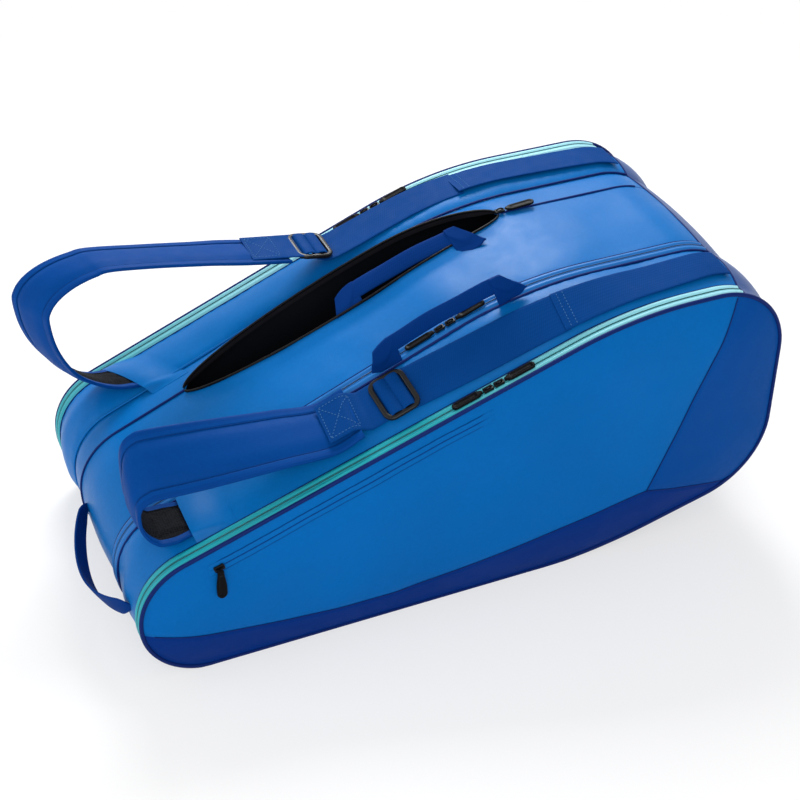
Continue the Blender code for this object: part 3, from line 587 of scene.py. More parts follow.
class Nodes:
    """A material's node tree, with short ways to add and join nodes."""

    def __init__(self, name: str) -> None:
        """Start a material with a Principled shader."""
        self.material = bpy.data.materials.new(name)
        self.material.use_nodes = True
        self.tree = self.material.node_tree
        self.shader = self.tree.nodes["Principled BSDF"]
        self.coords = self.add("ShaderNodeTexCoord")

    def add(self, kind: str, settings: dict | None = None, inputs: dict | None = None) -> bpy.types.Node:
        """Add a node.

        Args:
            kind: Blender's name for the node.
            settings: Its own properties.
            inputs: Values of its sockets, or the sockets that feed them.

        Returns:
            The node.
        """
        node = self.tree.nodes.new(kind)
        for key, value in (settings or {}).items():
            setattr(node, key, value)
        for key, value in (inputs or {}).items():
            self.feed(node.inputs[key], value)
        return node

    def feed(self, socket: bpy.types.NodeSocket, value: object) -> None:
        """Set a socket, or link it where the value is another node's socket."""
        if isinstance(value, bpy.types.NodeSocket):
            self.tree.links.new(value, socket)
        else:
            socket.default_value = value

    def where(self, coords: Coords) -> bpy.types.NodeSocket:
        """The chosen coordinates."""
        return self.coords.outputs[coords.value]

    def noise(self, coords: Coords, scale: float, detail: float = 3.0) -> bpy.types.NodeSocket:
        """Soft random variation."""
        inputs = {"Vector": self.where(coords), "Scale": scale, "Detail": detail}
        return self.add("ShaderNodeTexNoise", None, inputs).outputs["Fac"]

    def bands(self, coords: Coords, axis: str, pitch: float) -> bpy.types.NodeSocket:
        """Parallel ridges, one every pitch metres along an axis of the coordinates."""
        settings = {"wave_type": "BANDS", "bands_direction": axis, "wave_profile": "SIN"}
        inputs = {"Vector": self.where(coords), "Scale": math.tau / 20 / pitch}
        return self.add("ShaderNodeTexWave", settings, inputs).outputs["Fac"]

    def math(self, operation: str, a: object, b: object) -> bpy.types.NodeSocket:
        """Arithmetic on two values."""
        node = self.add("ShaderNodeMath", {"operation": operation})
        self.feed(node.inputs[0], a)
        self.feed(node.inputs[1], b)
        return node.outputs[0]

    def span(self, value: bpy.types.NodeSocket, low: float, high: float) -> bpy.types.NodeSocket:
        """Spread a value's middle part over a range."""
        inputs = {"Value": value, "From Min": 0.25, "From Max": 0.75, "To Min": low, "To Max": high}
        return self.add("ShaderNodeMapRange", None, inputs).outputs["Result"]

    def between(self, share: bpy.types.NodeSocket, a: object, b: object) -> bpy.types.NodeSocket:
        """Colour between two, each a colour or a socket."""
        node = self.add("ShaderNodeMix", {"data_type": "RGBA"})
        self.feed(node.inputs[0], share)
        self.feed(node.inputs[6], a)
        self.feed(node.inputs[7], b)
        return node.outputs[2]

    def bump(self, heights: Sequence[tuple[bpy.types.NodeSocket, float, float]]) -> None:
        """Feed the shader's normal from layers of (height, strength, distance)."""
        normal = None
        for height, strength, distance in heights:
            inputs = {"Height": height, "Strength": strength, "Distance": distance}
            node = self.add("ShaderNodeBump", None, inputs)
            if normal:
                self.feed(node.inputs["Normal"], normal)
            normal = node.outputs["Normal"]
        self.feed(self.shader.inputs["Normal"], normal)

    def set(self, **values: object) -> None:
        """Set the shader's sockets; underscores stand for spaces."""
        for key, value in values.items():
            self.feed(self.shader.inputs[key.replace("_", " ")], value)


def rgba(colour: Colour, share: float = 1.0) -> tuple[float, float, float, float]:
    """A colour made lighter or darker, with full alpha."""
    return (*(min(1.0, part * share) for part in colour), 1.0)


@dataclass(frozen=True)
class Cloth:
    """A woven cloth with a coating: fine threads and faint clouding."""

    name: str
    colour: Colour
    roughness: float = 0.50
    gloss: float = 0.035
    sheen: float = 0.0
    pitch: float = 0.0012
    weave: float = 0.12
    clouding: float = 0.10
    slack: float = 0.10
    coords: Coords = Coords.CLOTH

    def material(self) -> Material:
        """Make the cloth's material."""
        nodes = Nodes(self.name)
        cloud = nodes.noise(Coords.BAG, 9.0)
        grain = nodes.noise(Coords.BAG, 240.0, 2.0)
        shade = nodes.between(cloud, rgba(self.colour, 1 - self.clouding), rgba(self.colour, 1 + self.clouding))
        worn = nodes.between(nodes.span(grain, 0.0, 0.16), shade, rgba(self.colour, 1.5))
        threads = nodes.math(
            "MAXIMUM",
            nodes.bands(self.coords, "X", self.pitch),
            nodes.bands(self.coords, "Y", self.pitch),
        )
        swell = nodes.noise(Coords.BAG, 26.0, 4.0)
        fold = nodes.noise(Coords.BAG, 7.0, 2.0)
        nodes.bump([(fold, 0.35, 0.012), (swell, self.slack, 0.004), (threads, self.weave, 0.0003)])
        nodes.set(
            Base_Color=worn,
            Roughness=nodes.span(nodes.noise(Coords.BAG, 55.0), self.roughness - 0.05, self.roughness + 0.07),
            Specular_IOR_Level=self.gloss,
            Sheen_Weight=self.sheen,
            Sheen_Roughness=0.4,
        )
        return nodes.material


@dataclass(frozen=True)
class Webbing:
    """Flat woven strap: ribs along its length crossed by a fine twill, the valleys between the ribs painted
    darker as painted shade.
    """

    name: str
    colour: Colour
    rib: float = 0.0021
    twill: float = 0.0013
    roughness: float = 0.62

    def material(self) -> Material:
        """Make the webbing's material."""
        nodes = Nodes(self.name)
        ribs = nodes.bands(Coords.CLOTH, "Y", self.rib)
        twill = nodes.bands(Coords.CLOTH, "DIAGONAL", self.twill)
        cloud = nodes.noise(Coords.BAG, 16.0)
        shade = nodes.between(cloud, rgba(self.colour, 0.88), rgba(self.colour, 1.14))
        # Painted shade: the valleys between the ribs, and the twill's low threads, are painted darker.
        rib_valley_shade = nodes.between(nodes.span(ribs, 0.0, 0.3), rgba(self.colour, 0.6), shade)
        nodes.bump([(ribs, 0.18, 0.0004), (twill, 0.2, 0.0003)])
        nodes.set(
            Base_Color=nodes.between(nodes.span(twill, 0.7, 1.0), rib_valley_shade, shade),
            Roughness=nodes.span(nodes.noise(Coords.BAG, 70.0), self.roughness - 0.06, self.roughness + 0.08),
            Specular_IOR_Level=0.035,
        )
        return nodes.material


@dataclass(frozen=True)
class ZipTape:
    """Zip tape whose inner edge, by its map, carries a row of coil teeth, and which may be painted paler towards
    the head and the far side as a painted highlight.
    """

    name: str
    colour: Colour
    tooth: float = 0.0017
    teeth_width: float = 0.0011
    roughness: float = 0.38
    gloss: float = 0.45
    # Colour the tape is painted towards, at the head and the far side, as a painted highlight.
    pale: Colour | None = None

    def material(self) -> Material:
        """Make the tape's material."""
        nodes = Nodes(self.name)
        across = nodes.add("ShaderNodeSeparateXYZ", None, {"Vector": nodes.where(Coords.CLOTH)}).outputs["Y"]
        teeth = nodes.math("LESS_THAN", across, self.teeth_width)
        tooth = nodes.bands(Coords.CLOTH, "X", self.tooth)
        threads = nodes.bands(Coords.CLOTH, "X", 0.0009)
        cloud = nodes.noise(Coords.BAG, 18.0)
        cloth = nodes.between(cloud, rgba(self.colour, 0.9), rgba(self.colour, 1.12))
        # Painted highlight: the tape's colour is painted paler towards the head and the far side, where the back
        # light glints on it.
        if self.pale:
            place = nodes.add("ShaderNodeSeparateXYZ", None, {"Vector": nodes.where(Coords.BAG)}).outputs
            run = nodes.math("ADD", nodes.math("ADD", place["X"], place["Y"]), 0.22)
            cloth = nodes.between(nodes.math("MULTIPLY", run, 2.6), cloth, rgba(self.pale))
        # The coil is painted darker than the tape, and darker still between its teeth, as painted shade in those
        # gaps.
        coil = nodes.between(tooth, rgba(self.colour, 0.16), rgba(self.colour, 0.55))
        nodes.bump([(threads, 0.08, 0.0002), (nodes.math("MULTIPLY", teeth, tooth), 0.6, 0.0006)])
        nodes.set(
            Base_Color=nodes.between(teeth, cloth, coil),
            Roughness=nodes.span(nodes.noise(Coords.BAG, 60.0), self.roughness - 0.05, self.roughness + 0.08),
            Specular_IOR_Level=self.gloss,
        )
        return nodes.material


@dataclass(frozen=True)
class AirMesh:
    """Open knitted mesh: rows of small holes, painted dark as painted shade."""

    name: str
    colour: Colour
    hole: float = 0.0026

    def material(self) -> Material:
        """Make the mesh's material."""
        nodes = Nodes(self.name)
        inputs = {"Vector": nodes.where(Coords.BAG), "Scale": 1.0 / self.hole, "Randomness": 0.25}
        cells = nodes.add("ShaderNodeTexVoronoi", {"feature": "F1"}, inputs).outputs["Distance"]
        yarn = nodes.noise(Coords.BAG, 500.0, 2.0)
        # Painted shade: the middle of each cell, the hole, is painted dark, and the yarn round it lighter.
        holes = nodes.span(cells, 0.0, 1.0)
        nodes.bump([(cells, 0.7, 0.001), (yarn, 0.2, 0.0003)])
        nodes.set(
            Base_Color=nodes.between(holes, rgba(self.colour, 0.3), rgba(self.colour, 1.6)),
            Roughness=nodes.span(yarn, 0.7, 0.9),
            Specular_IOR_Level=0.05,
        )
        return nodes.material


@dataclass(frozen=True)
class Moulded:
    """Moulded rubber, plastic or cast metal: fine grain, and edges painted bright, partly as worn rubbing and
    partly as a painted highlight.
    """

    name: str
    colour: Colour
    roughness: float = 0.42
    gloss: float = 0.16
    rubbed_and_highlit: float = 2.4
    grain: float = 0.12

    def material(self) -> Material:
        """Make the moulding's material."""
        nodes = Nodes(self.name)
        # Edges, found by pointiness, are painted brighter: partly worn by rubbing, partly a painted highlight
        # along the rounded rims.
        edge = nodes.add("ShaderNodeNewGeometry").outputs["Pointiness"]
        inputs = {"Value": edge, "From Min": 0.53, "From Max": 0.70}
        edge_rub_and_highlight = nodes.add("ShaderNodeMapRange", None, inputs).outputs["Result"]
        patch = nodes.noise(Coords.BAG, 130.0)
        grain = nodes.noise(Coords.BAG, 1400.0, 2.0)
        body = nodes.between(patch, rgba(self.colour, 0.8), rgba(self.colour, 1.25))
        edge_wear_and_highlight = nodes.math("MULTIPLY", edge_rub_and_highlight, nodes.span(patch, 0.35, 1.0))
        nodes.bump([(grain, self.grain, 0.0002)])
        nodes.set(
            Base_Color=nodes.between(edge_wear_and_highlight, body, rgba(self.colour, self.rubbed_and_highlit)),
            Roughness=nodes.span(patch, self.roughness - 0.08, self.roughness + 0.12),
            Specular_IOR_Level=self.gloss,
        )
        return nodes.material


@dataclass(frozen=True)
class Thread:
    """Twisted sewing thread."""

    name: str
    colour: Colour

    def material(self) -> Material:
        """Make the thread's material."""
        nodes = Nodes(self.name)
        ply = nodes.bands(Coords.BAG, "DIAGONAL", 0.0006)
        fluff = nodes.noise(Coords.BAG, 300.0)
        nodes.bump([(ply, 0.4, 0.0003)])
        nodes.set(
            Base_Color=nodes.between(fluff, rgba(self.colour, 0.8), rgba(self.colour, 1.15)),
            Roughness=nodes.span(fluff, 0.5, 0.75),
            Specular_IOR_Level=0.05,
        )
        return nodes.material


class Finishes:
    """Every finish of the bag, made once."""

    def __init__(self) -> None:
        """Make the materials."""
        blue = (0.0005, 0.106, 0.362)
        deep = (0.0005, 0.054, 0.248)
        navy = (0.0008, 0.024, 0.166)
        strap = (0.0005, 0.047, 0.226)
        self.shell = Cloth("shell_cloth", blue).material()
        # Painted light: the top cloth is the side cloth's blue painted a little lighter, as light falling from
        # above.
        self.top = Cloth("top_cloth", (0.001, 0.124, 0.402), roughness=0.36, gloss=0.09).material()
        self.patch = Cloth("patch_cloth", deep).material()
        self.base = Cloth("base_cloth", navy, roughness=0.5).material()
        self.end = Cloth("end_cloth", (0.002, 0.046, 0.200), roughness=0.40, gloss=0.30).material()
        self.strap = Cloth("strap_cloth", strap, roughness=0.55, weave=0.16, clouding=0.08).material()
        self.binding = Cloth("binding_cloth", (0.0005, 0.041, 0.208), pitch=0.0009, weave=0.2).material()
        self.piping = Cloth("piping_cloth", (0.0006, 0.012, 0.104), gloss=0.10, coords=Coords.BAG).material()
        self.webbing = Webbing("strap_webbing_weave", (0.0005, 0.044, 0.205)).material()
        self.handle = Webbing("handle_webbing_weave", (0.0006, 0.030, 0.172)).material()
        # The turquoise tape carries a painted highlight: it is paler towards the head and the far side.
        self.bright_tape = ZipTape("turquoise_tape", (0.003, 0.300, 0.360), gloss=0.3, pale=(0.33, 0.67, 0.76)).material()
        self.plain_tape = ZipTape("blue_tape", (0.002, 0.128, 0.420), gloss=0.25).material()
        self.black_tape = ZipTape("black_tape", (0.003, 0.003, 0.005), roughness=0.6, gloss=0.05).material()
        self.mesh = AirMesh("air_mesh", (0.008, 0.009, 0.012)).material()
        self.lining = Cloth("black_lining", (0.006, 0.007, 0.010), roughness=0.7, clouding=0.2).material()
        # Each moulding's third number paints its edges brighter, partly as worn rubbing and partly as a painted
        # highlight.
        self.rubber = Moulded("pull_rubber", (0.0022, 0.0022, 0.0028), 0.36, 0.05, 2.0).material()
        self.slider = Moulded("slider_metal", (0.003, 0.003, 0.004), 0.30, 0.10, 3.0).material()
        self.buckle = Moulded("buckle_metal", (0.005, 0.005, 0.006), 0.28, 0.22, 7.0, 0.05).material()
        self.board = Moulded("base_board", (0.030, 0.030, 0.034), 0.7, 0.2, 1.3, 0.4).material()
        self.pale_thread = Thread("pale_thread", (0.045, 0.150, 0.360)).material()
        self.blue_thread = Thread("blue_thread", (0.0005, 0.036, 0.185)).material()


def dress(obj: Object, *materials: Material) -> Object:
    """Give an object its materials, the first one all over."""
    obj.data.materials.clear()
    for material in materials:
        obj.data.materials.append(material)
    return obj


def hand_over(obj: Object, body: str, slot: str, *nodes: str) -> Object:
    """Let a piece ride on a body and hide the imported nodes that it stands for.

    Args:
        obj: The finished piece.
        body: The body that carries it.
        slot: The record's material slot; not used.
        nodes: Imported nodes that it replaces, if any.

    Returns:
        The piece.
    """
    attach(obj, body)
    if nodes:
        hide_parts(*nodes)
    LOG.info("%s rides on %s, %d faces", obj.name, body, len(obj.data.polygons))
    return obj


# Sewn details


@dataclass(frozen=True)
class StitchRow:
    """A row of single stitches, each a small thread lying half sunk in the cloth."""

    pitch: float = 0.0042
    length: float = 0.0027
    radius: float = 0.00042

    def sew(self, name: str, lines: Sequence[Sequence[Vector]], out: Vector) -> Object:
        """Sew stitches along lines.

        Args:
            name: Name of the piece.
            lines: Routes of the rows.
            out: Direction that the cloth faces.

        Returns:
            All stitches as one object.
        """
        deselect()
        bpy.ops.mesh.primitive_uv_sphere_add(segments=6, ring_count=4, radius=1.0)
        bead = bpy.context.object
        shape = np.array([tuple(vert.co) for vert in bead.data.vertices])
        shape = shape * (self.length / 2, self.radius * 1.3, self.radius)
        faces = [tuple(face.vertices) for face in bead.data.polygons]
        bpy.data.objects.remove(bead)
        verts, polygons = [], []
        for line in lines:
            rows = np.array([tuple(point) for point in line])
            lengths = np.concatenate([[0.0], np.cumsum(np.linalg.norm(np.diff(rows, axis=0), axis=1))])
            for spot in np.arange(self.pitch / 2, lengths[-1], self.pitch):
                at = Vector([np.interp(spot, lengths, rows[:, k]) for k in range(3)])
                to = Vector([np.interp(spot + 1e-3, lengths, rows[:, k]) for k in range(3)])
                back = Vector([np.interp(spot - 1e-3, lengths, rows[:, k]) for k in range(3)])
                along = (to - back).normalized()
                side = out.cross(along).normalized()
                turn = np.array((along, side, along.cross(side)))
                start = len(verts)
                verts += [tuple(row) for row in shape @ turn + np.array(at)]
                polygons += [tuple(start + index for index in face) for face in faces]
        mesh = bpy.data.meshes.new(name)
        mesh.from_pydata(verts, [], polygons)
        obj = bpy.data.objects.new(name, mesh)
        bpy.context.scene.collection.objects.link(obj)
        in_edit(obj, face_out())
        smooth(obj, 80)
        return obj


# The compartments


@dataclass(frozen=True)
class Gusset:
    """One of the sheets that wrap a compartment, filled out between its seams."""

    name: str
    body: str
    part: Part
    low_y: float
    high_y: float
    cells: tuple[int, int] = (150, 20)
    wall: float = 0.0022
    seam_dip: float = 0.0012
    seam_reach: float = 0.007
    pucker: float = 0.0005
    pucker_length: float = 0.017
    creasing: float = 0.0015
    tail_folds: float = 0.0016
    tail_reach: float = 0.12
    head_fill: float = 0.35
    head_share: float = 0.30

    def lift(self, share: float, y: float, place: Vector) -> float:
        """Height of the cloth above the outline."""
        edge = min(y - self.low_y, self.high_y - y)
        near_seam = 1.0 - ease(edge / self.seam_reach)
        run = share * FORM.span(y, self.part)
        waves = math.sin(math.tau * run / self.pucker_length + 3.0 * noise.noise(place * 9.0))
        bulge = FORM.bulge(y)
        if self.part is Part.BASE:
            filled = 1.0 + self.head_fill * math.sin(math.pi * min(1.0, share / self.head_share))
            bulge *= filled * (1.0 - ease((share / self.head_share - 0.7) / 0.3))
        inner = ease(edge / 0.02)
        fade = 1.0 - ease(edge / 0.022)
        height = bulge - self.seam_dip * near_seam + self.pucker * waves * fade * ease(edge / 0.004)
        drawn = self.tail_folds * ease((FORM.tail_x + self.tail_reach - place.x) / self.tail_reach)
        long = Vector((place.x * 0.35, place.y, place.z * 0.35))
        folds = crease(long, 0.022, drawn, 3.0) if self.creasing else 0.0
        return height + inner * (crease(place, 0.055, self.creasing, self.low_y * 50) + folds)

    def lay(self, low: Callable[[float], float], high: Callable[[float], float], name: str) -> Object:
        """Lay the cloth between two edges given as functions of the share along the run."""

        def place(u: float, v: float) -> Vector:
            """Point of the cloth."""
            y = mix(low(u), high(u), v)
            spot = FORM.place(u, y, self.part)
            return FORM.place(u, y, self.part, self.lift(u, y, spot))

        size = (FORM.span(self.low_y, self.part), self.high_y - self.low_y)
        obj = laid_grid(name, self.cells, place, size)
        turn_to(obj, Vector((0, 0, 1 if self.part is Part.TOP else -1)))
        return obj

    def build(self, cloth: Material, lining: Material, slot: str) -> Object:
        """Build the whole sheet and hand it over."""
        obj = self.lay(lambda u: self.low_y, lambda u: self.high_y, f"{self.name}_skin")
        dress(obj, cloth, lining)
        thicken(obj, self.wall, lined=True)
        smooth(obj, 60)
        return hand_over(obj, self.body, slot, self.name)


@dataclass(frozen=True)
class ShoeMouth:
    """The middle top sheet with the open mouth of the shoe compartment in it."""

    tail_x: float = -0.250
    head_x: float = 0.138
    near_bow: float = 0.043
    far_bow: float = 0.037
    lip_rise: float = 0.006
    lip_reach: float = 0.018
    tape_width: float = 0.005
    tooth_radius: float = 0.0013
    closed_gap: float = 0.0008

    def bow(self, x: float) -> float:
        """Share of the mouth's full opening at x."""
        half = (self.head_x - self.tail_x) / 2
        share = (x - (self.tail_x + self.head_x) / 2) / half
        return math.sqrt(max(0.0, 1.0 - share * share))

    def edge(self, share: float, side: Side) -> float:
        """Station of the mouth's lip at a share along the run."""
        x = FORM.place(share, FORM.shoe_zip_y).x
        above = FORM.place(share, FORM.shoe_zip_y).z > FORM.tail_top / 2
        width = self.near_bow if side is Side.NEAR else self.far_bow
        opening = width * self.bow(x) if above else 0.0
        return FORM.shoe_zip_y + side.value * max(self.closed_gap, opening)

    def lip(self, x: float, side: Side, lift: float = 0.0) -> Vector:
        """Point of a lip at x, lifted off the cloth."""
        width = self.near_bow if side is Side.NEAR else self.far_bow
        y = FORM.shoe_zip_y + side.value * max(self.closed_gap, width * self.bow(x))
        return FORM.on_top(x, y, self.lip_rise * self.bow(x) + lift)

    def build(self, finishes: Finishes) -> None:
        """Build the sheet's two halves, the lips' tapes and their teeth."""
        halves = []
        for side, low, high in (
            (Side.NEAR, FORM.centre_zip_y, FORM.shoe_zip_y),
            (Side.FAR, FORM.shoe_zip_y, FORM.far_seam_y),
        ):
            sheet = Gusset("centre_top_gusset", "body", Part.TOP, low, high, (220, 16))
            halves.append(self.half(sheet, side))
        skin = join("centre_top_gusset_skin", halves)
        dress(skin, finishes.top, finishes.lining)
        thicken(skin, 0.0022, lined=True)
        smooth(skin, 60)
        hand_over(skin, "body", "mid_blue", "centre_top_gusset")
        self.build_tapes(finishes)

    def half(self, sheet: Gusset, side: Side) -> Object:
        """One half of the sheet, its lip turned up a little along the opening."""

        def place(u: float, v: float) -> Vector:
            """Point of the cloth."""
            lip = self.edge(u, side)
            outer = sheet.low_y if side is Side.NEAR else sheet.high_y
            y = mix(outer, lip, v)
            spot = FORM.place(u, y)
            rise = self.lip_rise * self.bow(spot.x) * (1.0 - ease(abs(y - lip) / self.lip_reach))
            edge = abs(y - outer)
            dip = sheet.seam_dip * (1.0 - ease(edge / sheet.seam_reach))
            swell = crease(spot, 0.06, sheet.creasing, 4.0) * ease(edge / 0.02)
            return FORM.place(u, y, Part.TOP, FORM.bulge(y) + rise - dip + swell)

        width = abs(sheet.high_y - sheet.low_y)
        obj = laid_grid(f"{side.word}_half", sheet.cells, place, (FORM.span(sheet.low_y), width))
        turn_to(obj, Vector((0, 0, 1)))
        return obj

    def build_tapes(self, finishes: Finishes) -> None:
        """Black tapes that hang from the lips, each edged with a row of teeth."""
        pieces = []
        middle, half = (self.tail_x + self.head_x) / 2, (self.head_x - self.tail_x) / 2
        for side in Side:
            inwards = Vector((0.0, -side.value, 0.0))

            def place(u: float, v: float, side: Side = side, inwards: Vector = inwards) -> Vector:
                """Point of the tape."""
                x = middle - half * 0.998 * math.cos(math.pi * u)
                lip = self.lip(x, side, 0.0004)
                width = self.tape_width * min(1.0, 2.2 * self.bow(x))
                return lip + inwards * width * v * 0.75 + Vector((0, 0, -width * v * v * 0.9))

            tape = laid_grid(f"{side.word}_lip", (120, 4), place, (2 * half, self.tape_width))
            turn_to(tape, Vector((0, 0, 1)))
            thicken(tape, 0.0009)
            smooth(tape, 60)
            pieces.append(dress(tape, finishes.black_tape))
            spots = [middle - half * 0.996 * math.cos(math.pi * step / 150) for step in range(151)]
            teeth = tube(f"{side.word}_teeth", [self.lip(x, side, 0.0016) for x in spots], self.tooth_radius)
            pieces.append(dress(teeth, finishes.slider))
        hand_over(join("shoe_zip_lips", pieces), "body", "black_plastic", "shoe_zip_teeth")
        line = [self.head_x + (0.318 - self.head_x) * step / 40 for step in range(1, 41)]
        closed = tube("shoe_zip_closed", [FORM.on_top(x, FORM.shoe_zip_y, 0.0004) for x in line], 0.0016)
        hand_over(dress(closed, finishes.piping), "body", "navy")
        end = FORM.share_at(self.tail_x, FORM.shoe_zip_y)
        lift = FORM.bulge(FORM.shoe_zip_y) + 0.0002
        tail = [FORM.place(mix(0.004, end, step / 60), FORM.shoe_zip_y, Part.TOP, lift) for step in range(61)]
        seam = tube("shoe_zip_tail_seam", tail, 0.0016)
        hand_over(dress(seam, finishes.piping), "body", "navy")


@dataclass(frozen=True)
class ZipRun:
    """One half of a long zip: a tape rounded over its edge, its inner rim set with coil teeth."""

    name: str
    body: str
    slot: str
    coil_y: float
    outer_y: float
    margin: float = 0.006
    rise: float = 0.0016
    bead: float = 0.0011
    wall: float = 0.0009

    def build(self, tape: Material) -> Object:
        """Build the tape half and hand it over."""
        width = abs(self.outer_y - self.coil_y)

        def place(u: float, v: float) -> Vector:
            """Point of the tape: bead at the coil, groove, then a rounded welt."""
            y = mix(self.coil_y, self.outer_y, v)
            share = mix(self.margin, 1.0 - self.margin, u)
            bead = self.bead * math.exp(-((v - 0.10) ** 2) / 0.006)
            welt = self.rise * math.sin(math.pi * min(1.0, max(0.0, (v - 0.2) / 0.78)))
            return FORM.place(share, y, Part.TOP, 0.0013 + bead + welt)

        obj = laid_grid(f"{self.name}_skin", (260, 16), place, (FORM.span(self.coil_y), width))
        turn_to(obj, Vector((0, 0, 1)))
        thicken(obj, self.wall)
        smooth(obj, 70)
        return hand_over(dress(obj, tape), self.body, self.slot, self.name)


# Side panels


@dataclass(frozen=True)
class SidePanel:
    """A side of the bag: main sheet, base patch and head patch, edged with piping."""

    side: Side
    crown: float = 0.012
    crown_reach: float = 0.072
    wall: float = 0.0022
    corner: tuple[float, float] = (0.219, 0.0815)
    head_top: tuple[float, float] = (0.318, 0.325)
    belly_x: float = -0.090
    belly_z: float = 0.033
    tail_curve: float = 0.41
    foot_fall: float = 0.24
    seam_dip: float = 0.0012
    seam_reach: float = 0.006
    piping: float = 0.0024
    cells: tuple[int, int] = (190, 84)

    @property
    def edge_y(self) -> float:
        """Station of the panel's rim."""
        return self.side.value * FORM.half_width

    def base_seam(self, x: float) -> float:
        """Height of the seam above the base patch: low in the middle, rising to both ends."""
        if x < self.belly_x:
            return self.belly_z + self.tail_curve * (x - self.belly_x) ** 2
        run = (x - self.belly_x) / (self.corner[0] - self.belly_x)
        if run > 1:
            return self.corner[1] - self.foot_fall * (x - self.corner[0])
        return self.belly_z + (self.corner[1] - self.belly_z) * (0.22 * run * run + 0.78 * run)

    def head_seam(self, z: float) -> float:
        """Place along the bag of the head patch's seam at a height."""
        share = (z - self.corner[1]) / (self.head_top[1] - self.corner[1])
        return mix(self.corner[0], self.head_top[0], share)

    @lru_cache(maxsize=None)
    def rim(self) -> np.ndarray:
        """The panel's outline as closely spaced points."""
        rows = FORM.outline(round(self.edge_y, 4))
        rows = np.vstack([rows, rows[:1]])
        lengths = np.concatenate([[0.0], np.cumsum(np.linalg.norm(np.diff(rows, axis=0), axis=1))])
        spots = np.linspace(0.0, lengths[-1], 900)
        return np.column_stack([np.interp(spots, lengths, rows[:, k]) for k in range(2)])

    def depth(self, x: float, z: float) -> float:
        """How far in from the rim a point of the panel lies."""
        rim = self.rim()
        return float(np.sqrt(np.min((rim[:, 0] - x) ** 2 + (rim[:, 1] - z) ** 2)))

    def face(self, x: float, z: float, lift: float = 0.0) -> Vector:
        """Point of the panel's outer face, drawn in along its seams."""
        inside = self.depth(x, z)
        rest = max(0.0, 1.0 - inside / self.crown_reach)
        swell = self.crown * (1.0 - rest * rest)
        seams = [abs(z - self.base_seam(x))]
        if z > self.base_seam(x):
            seams.append(abs(x - self.head_seam(z)) * 0.92)
        dip = self.seam_dip * (1.0 - ease(min(seams) / self.seam_reach))
        spot = Vector((x, self.edge_y, z))
        soft = crease(spot, 0.11, 0.0026, 2.0) + crease(spot, 0.045, 0.0009, 7.0)
        rim_wave = 0.0005 * math.sin(math.tau * (x + z) / 0.019) * (1.0 - ease(inside / 0.02))
        out = swell - dip + (soft + rim_wave) * ease(inside / 0.012) + lift
        return Vector((x, self.edge_y + self.side.value * out, z))

    def bounds_at(self, x: float) -> tuple[float, float]:
        """Lowest and highest point of the panel at x."""
        return FORM.base_z(x, self.edge_y), FORM.top_z(x, self.edge_y)

    def height(self, x: float, share: float) -> float:
        """Height at x for a share of the way from the base seam to the upper rim."""
        low, high = self.bounds_at(x)
        return mix(max(low, min(self.base_seam(x), high)), high, share)

    @lru_cache(maxsize=None)
    def row_end(self, share: float) -> float:
        """Where a row of the main sheet meets the head patch's seam."""
        low, high = self.corner[0] - 0.01, self.head_top[0] + 0.02
        for _ in range(40):
            middle = (low + high) / 2
            if self.head_seam(self.height(middle, share)) > middle:
                low = middle
            else:
                high = middle
        return low

    def main_place(self, u: float, v: float) -> Vector:
        """Point of the main sheet."""
        even = (1.0 - math.cos(math.pi * u)) / 2
        x = mix(FORM.tail_x, self.row_end(round(v, 6)), mix(u, even, 0.5))
        return self.face(x, self.height(x, v))

    def base_place(self, u: float, v: float) -> Vector:
        """Point of the base patch."""
        even = (1.0 - math.cos(math.pi * u)) / 2
        x = mix(FORM.tail_x, FORM.head_x, mix(u, even, 0.6))
        low, high = self.bounds_at(x)
        top = max(low, min(self.base_seam(x), high))
        return self.face(x, mix(low, top, v))

    def head_place(self, u: float, v: float) -> Vector:
        """Point of the head patch."""
        x = mix(self.row_end(round(v, 6)), FORM.head_x, 1.0 - (1.0 - u) ** 1.5)
        return self.face(x, self.height(x, v))

    def build(self, finishes: Finishes) -> None:
        """Build the three sheets and the piping round the rim."""
        word, body = self.side.word, f"{self.side.word}_door"
        sheets = (
            ("side_panel", self.main_place, finishes.shell, "mid_blue"),
            ("head_patch", self.head_place, finishes.patch, "deep_blue"),
            ("base_patch", self.base_place, finishes.base, "navy"),
        )
        for kind, place, cloth, slot in sheets:
            cells = self.cells if kind == "side_panel" else (self.cells[0] // 2 + 60, self.cells[1] // 2)
            obj = laid_grid(f"{word}_{kind}_skin", cells, place, (FORM.length, FORM.height))
            in_edit(obj, merge(1e-6))
            turn_to(obj, Vector((0, self.side.value, 0)))
            dress(obj, cloth, finishes.lining)
            thicken(obj, self.wall, lined=True)
            smooth(obj, 60)
            hand_over(obj, body, slot, f"{word}_{kind}")
        out = self.side.value * 0.0004
        ring = [Vector((x, self.edge_y + out, z)) for x, z in self.rim()[:-1]]
        centre = Vector((0.0, 0.0, FORM.height / 2))
        ring = [point + (Vector((point.x, 0, point.z)) - centre).normalized() * 0.0004 for point in ring]
        edge = tube(f"{word}_panel_piping", ring, self.piping, closed=True)
        hand_over(dress(edge, finishes.piping), body, "navy")
        self.build_seam_cords(finishes, body)

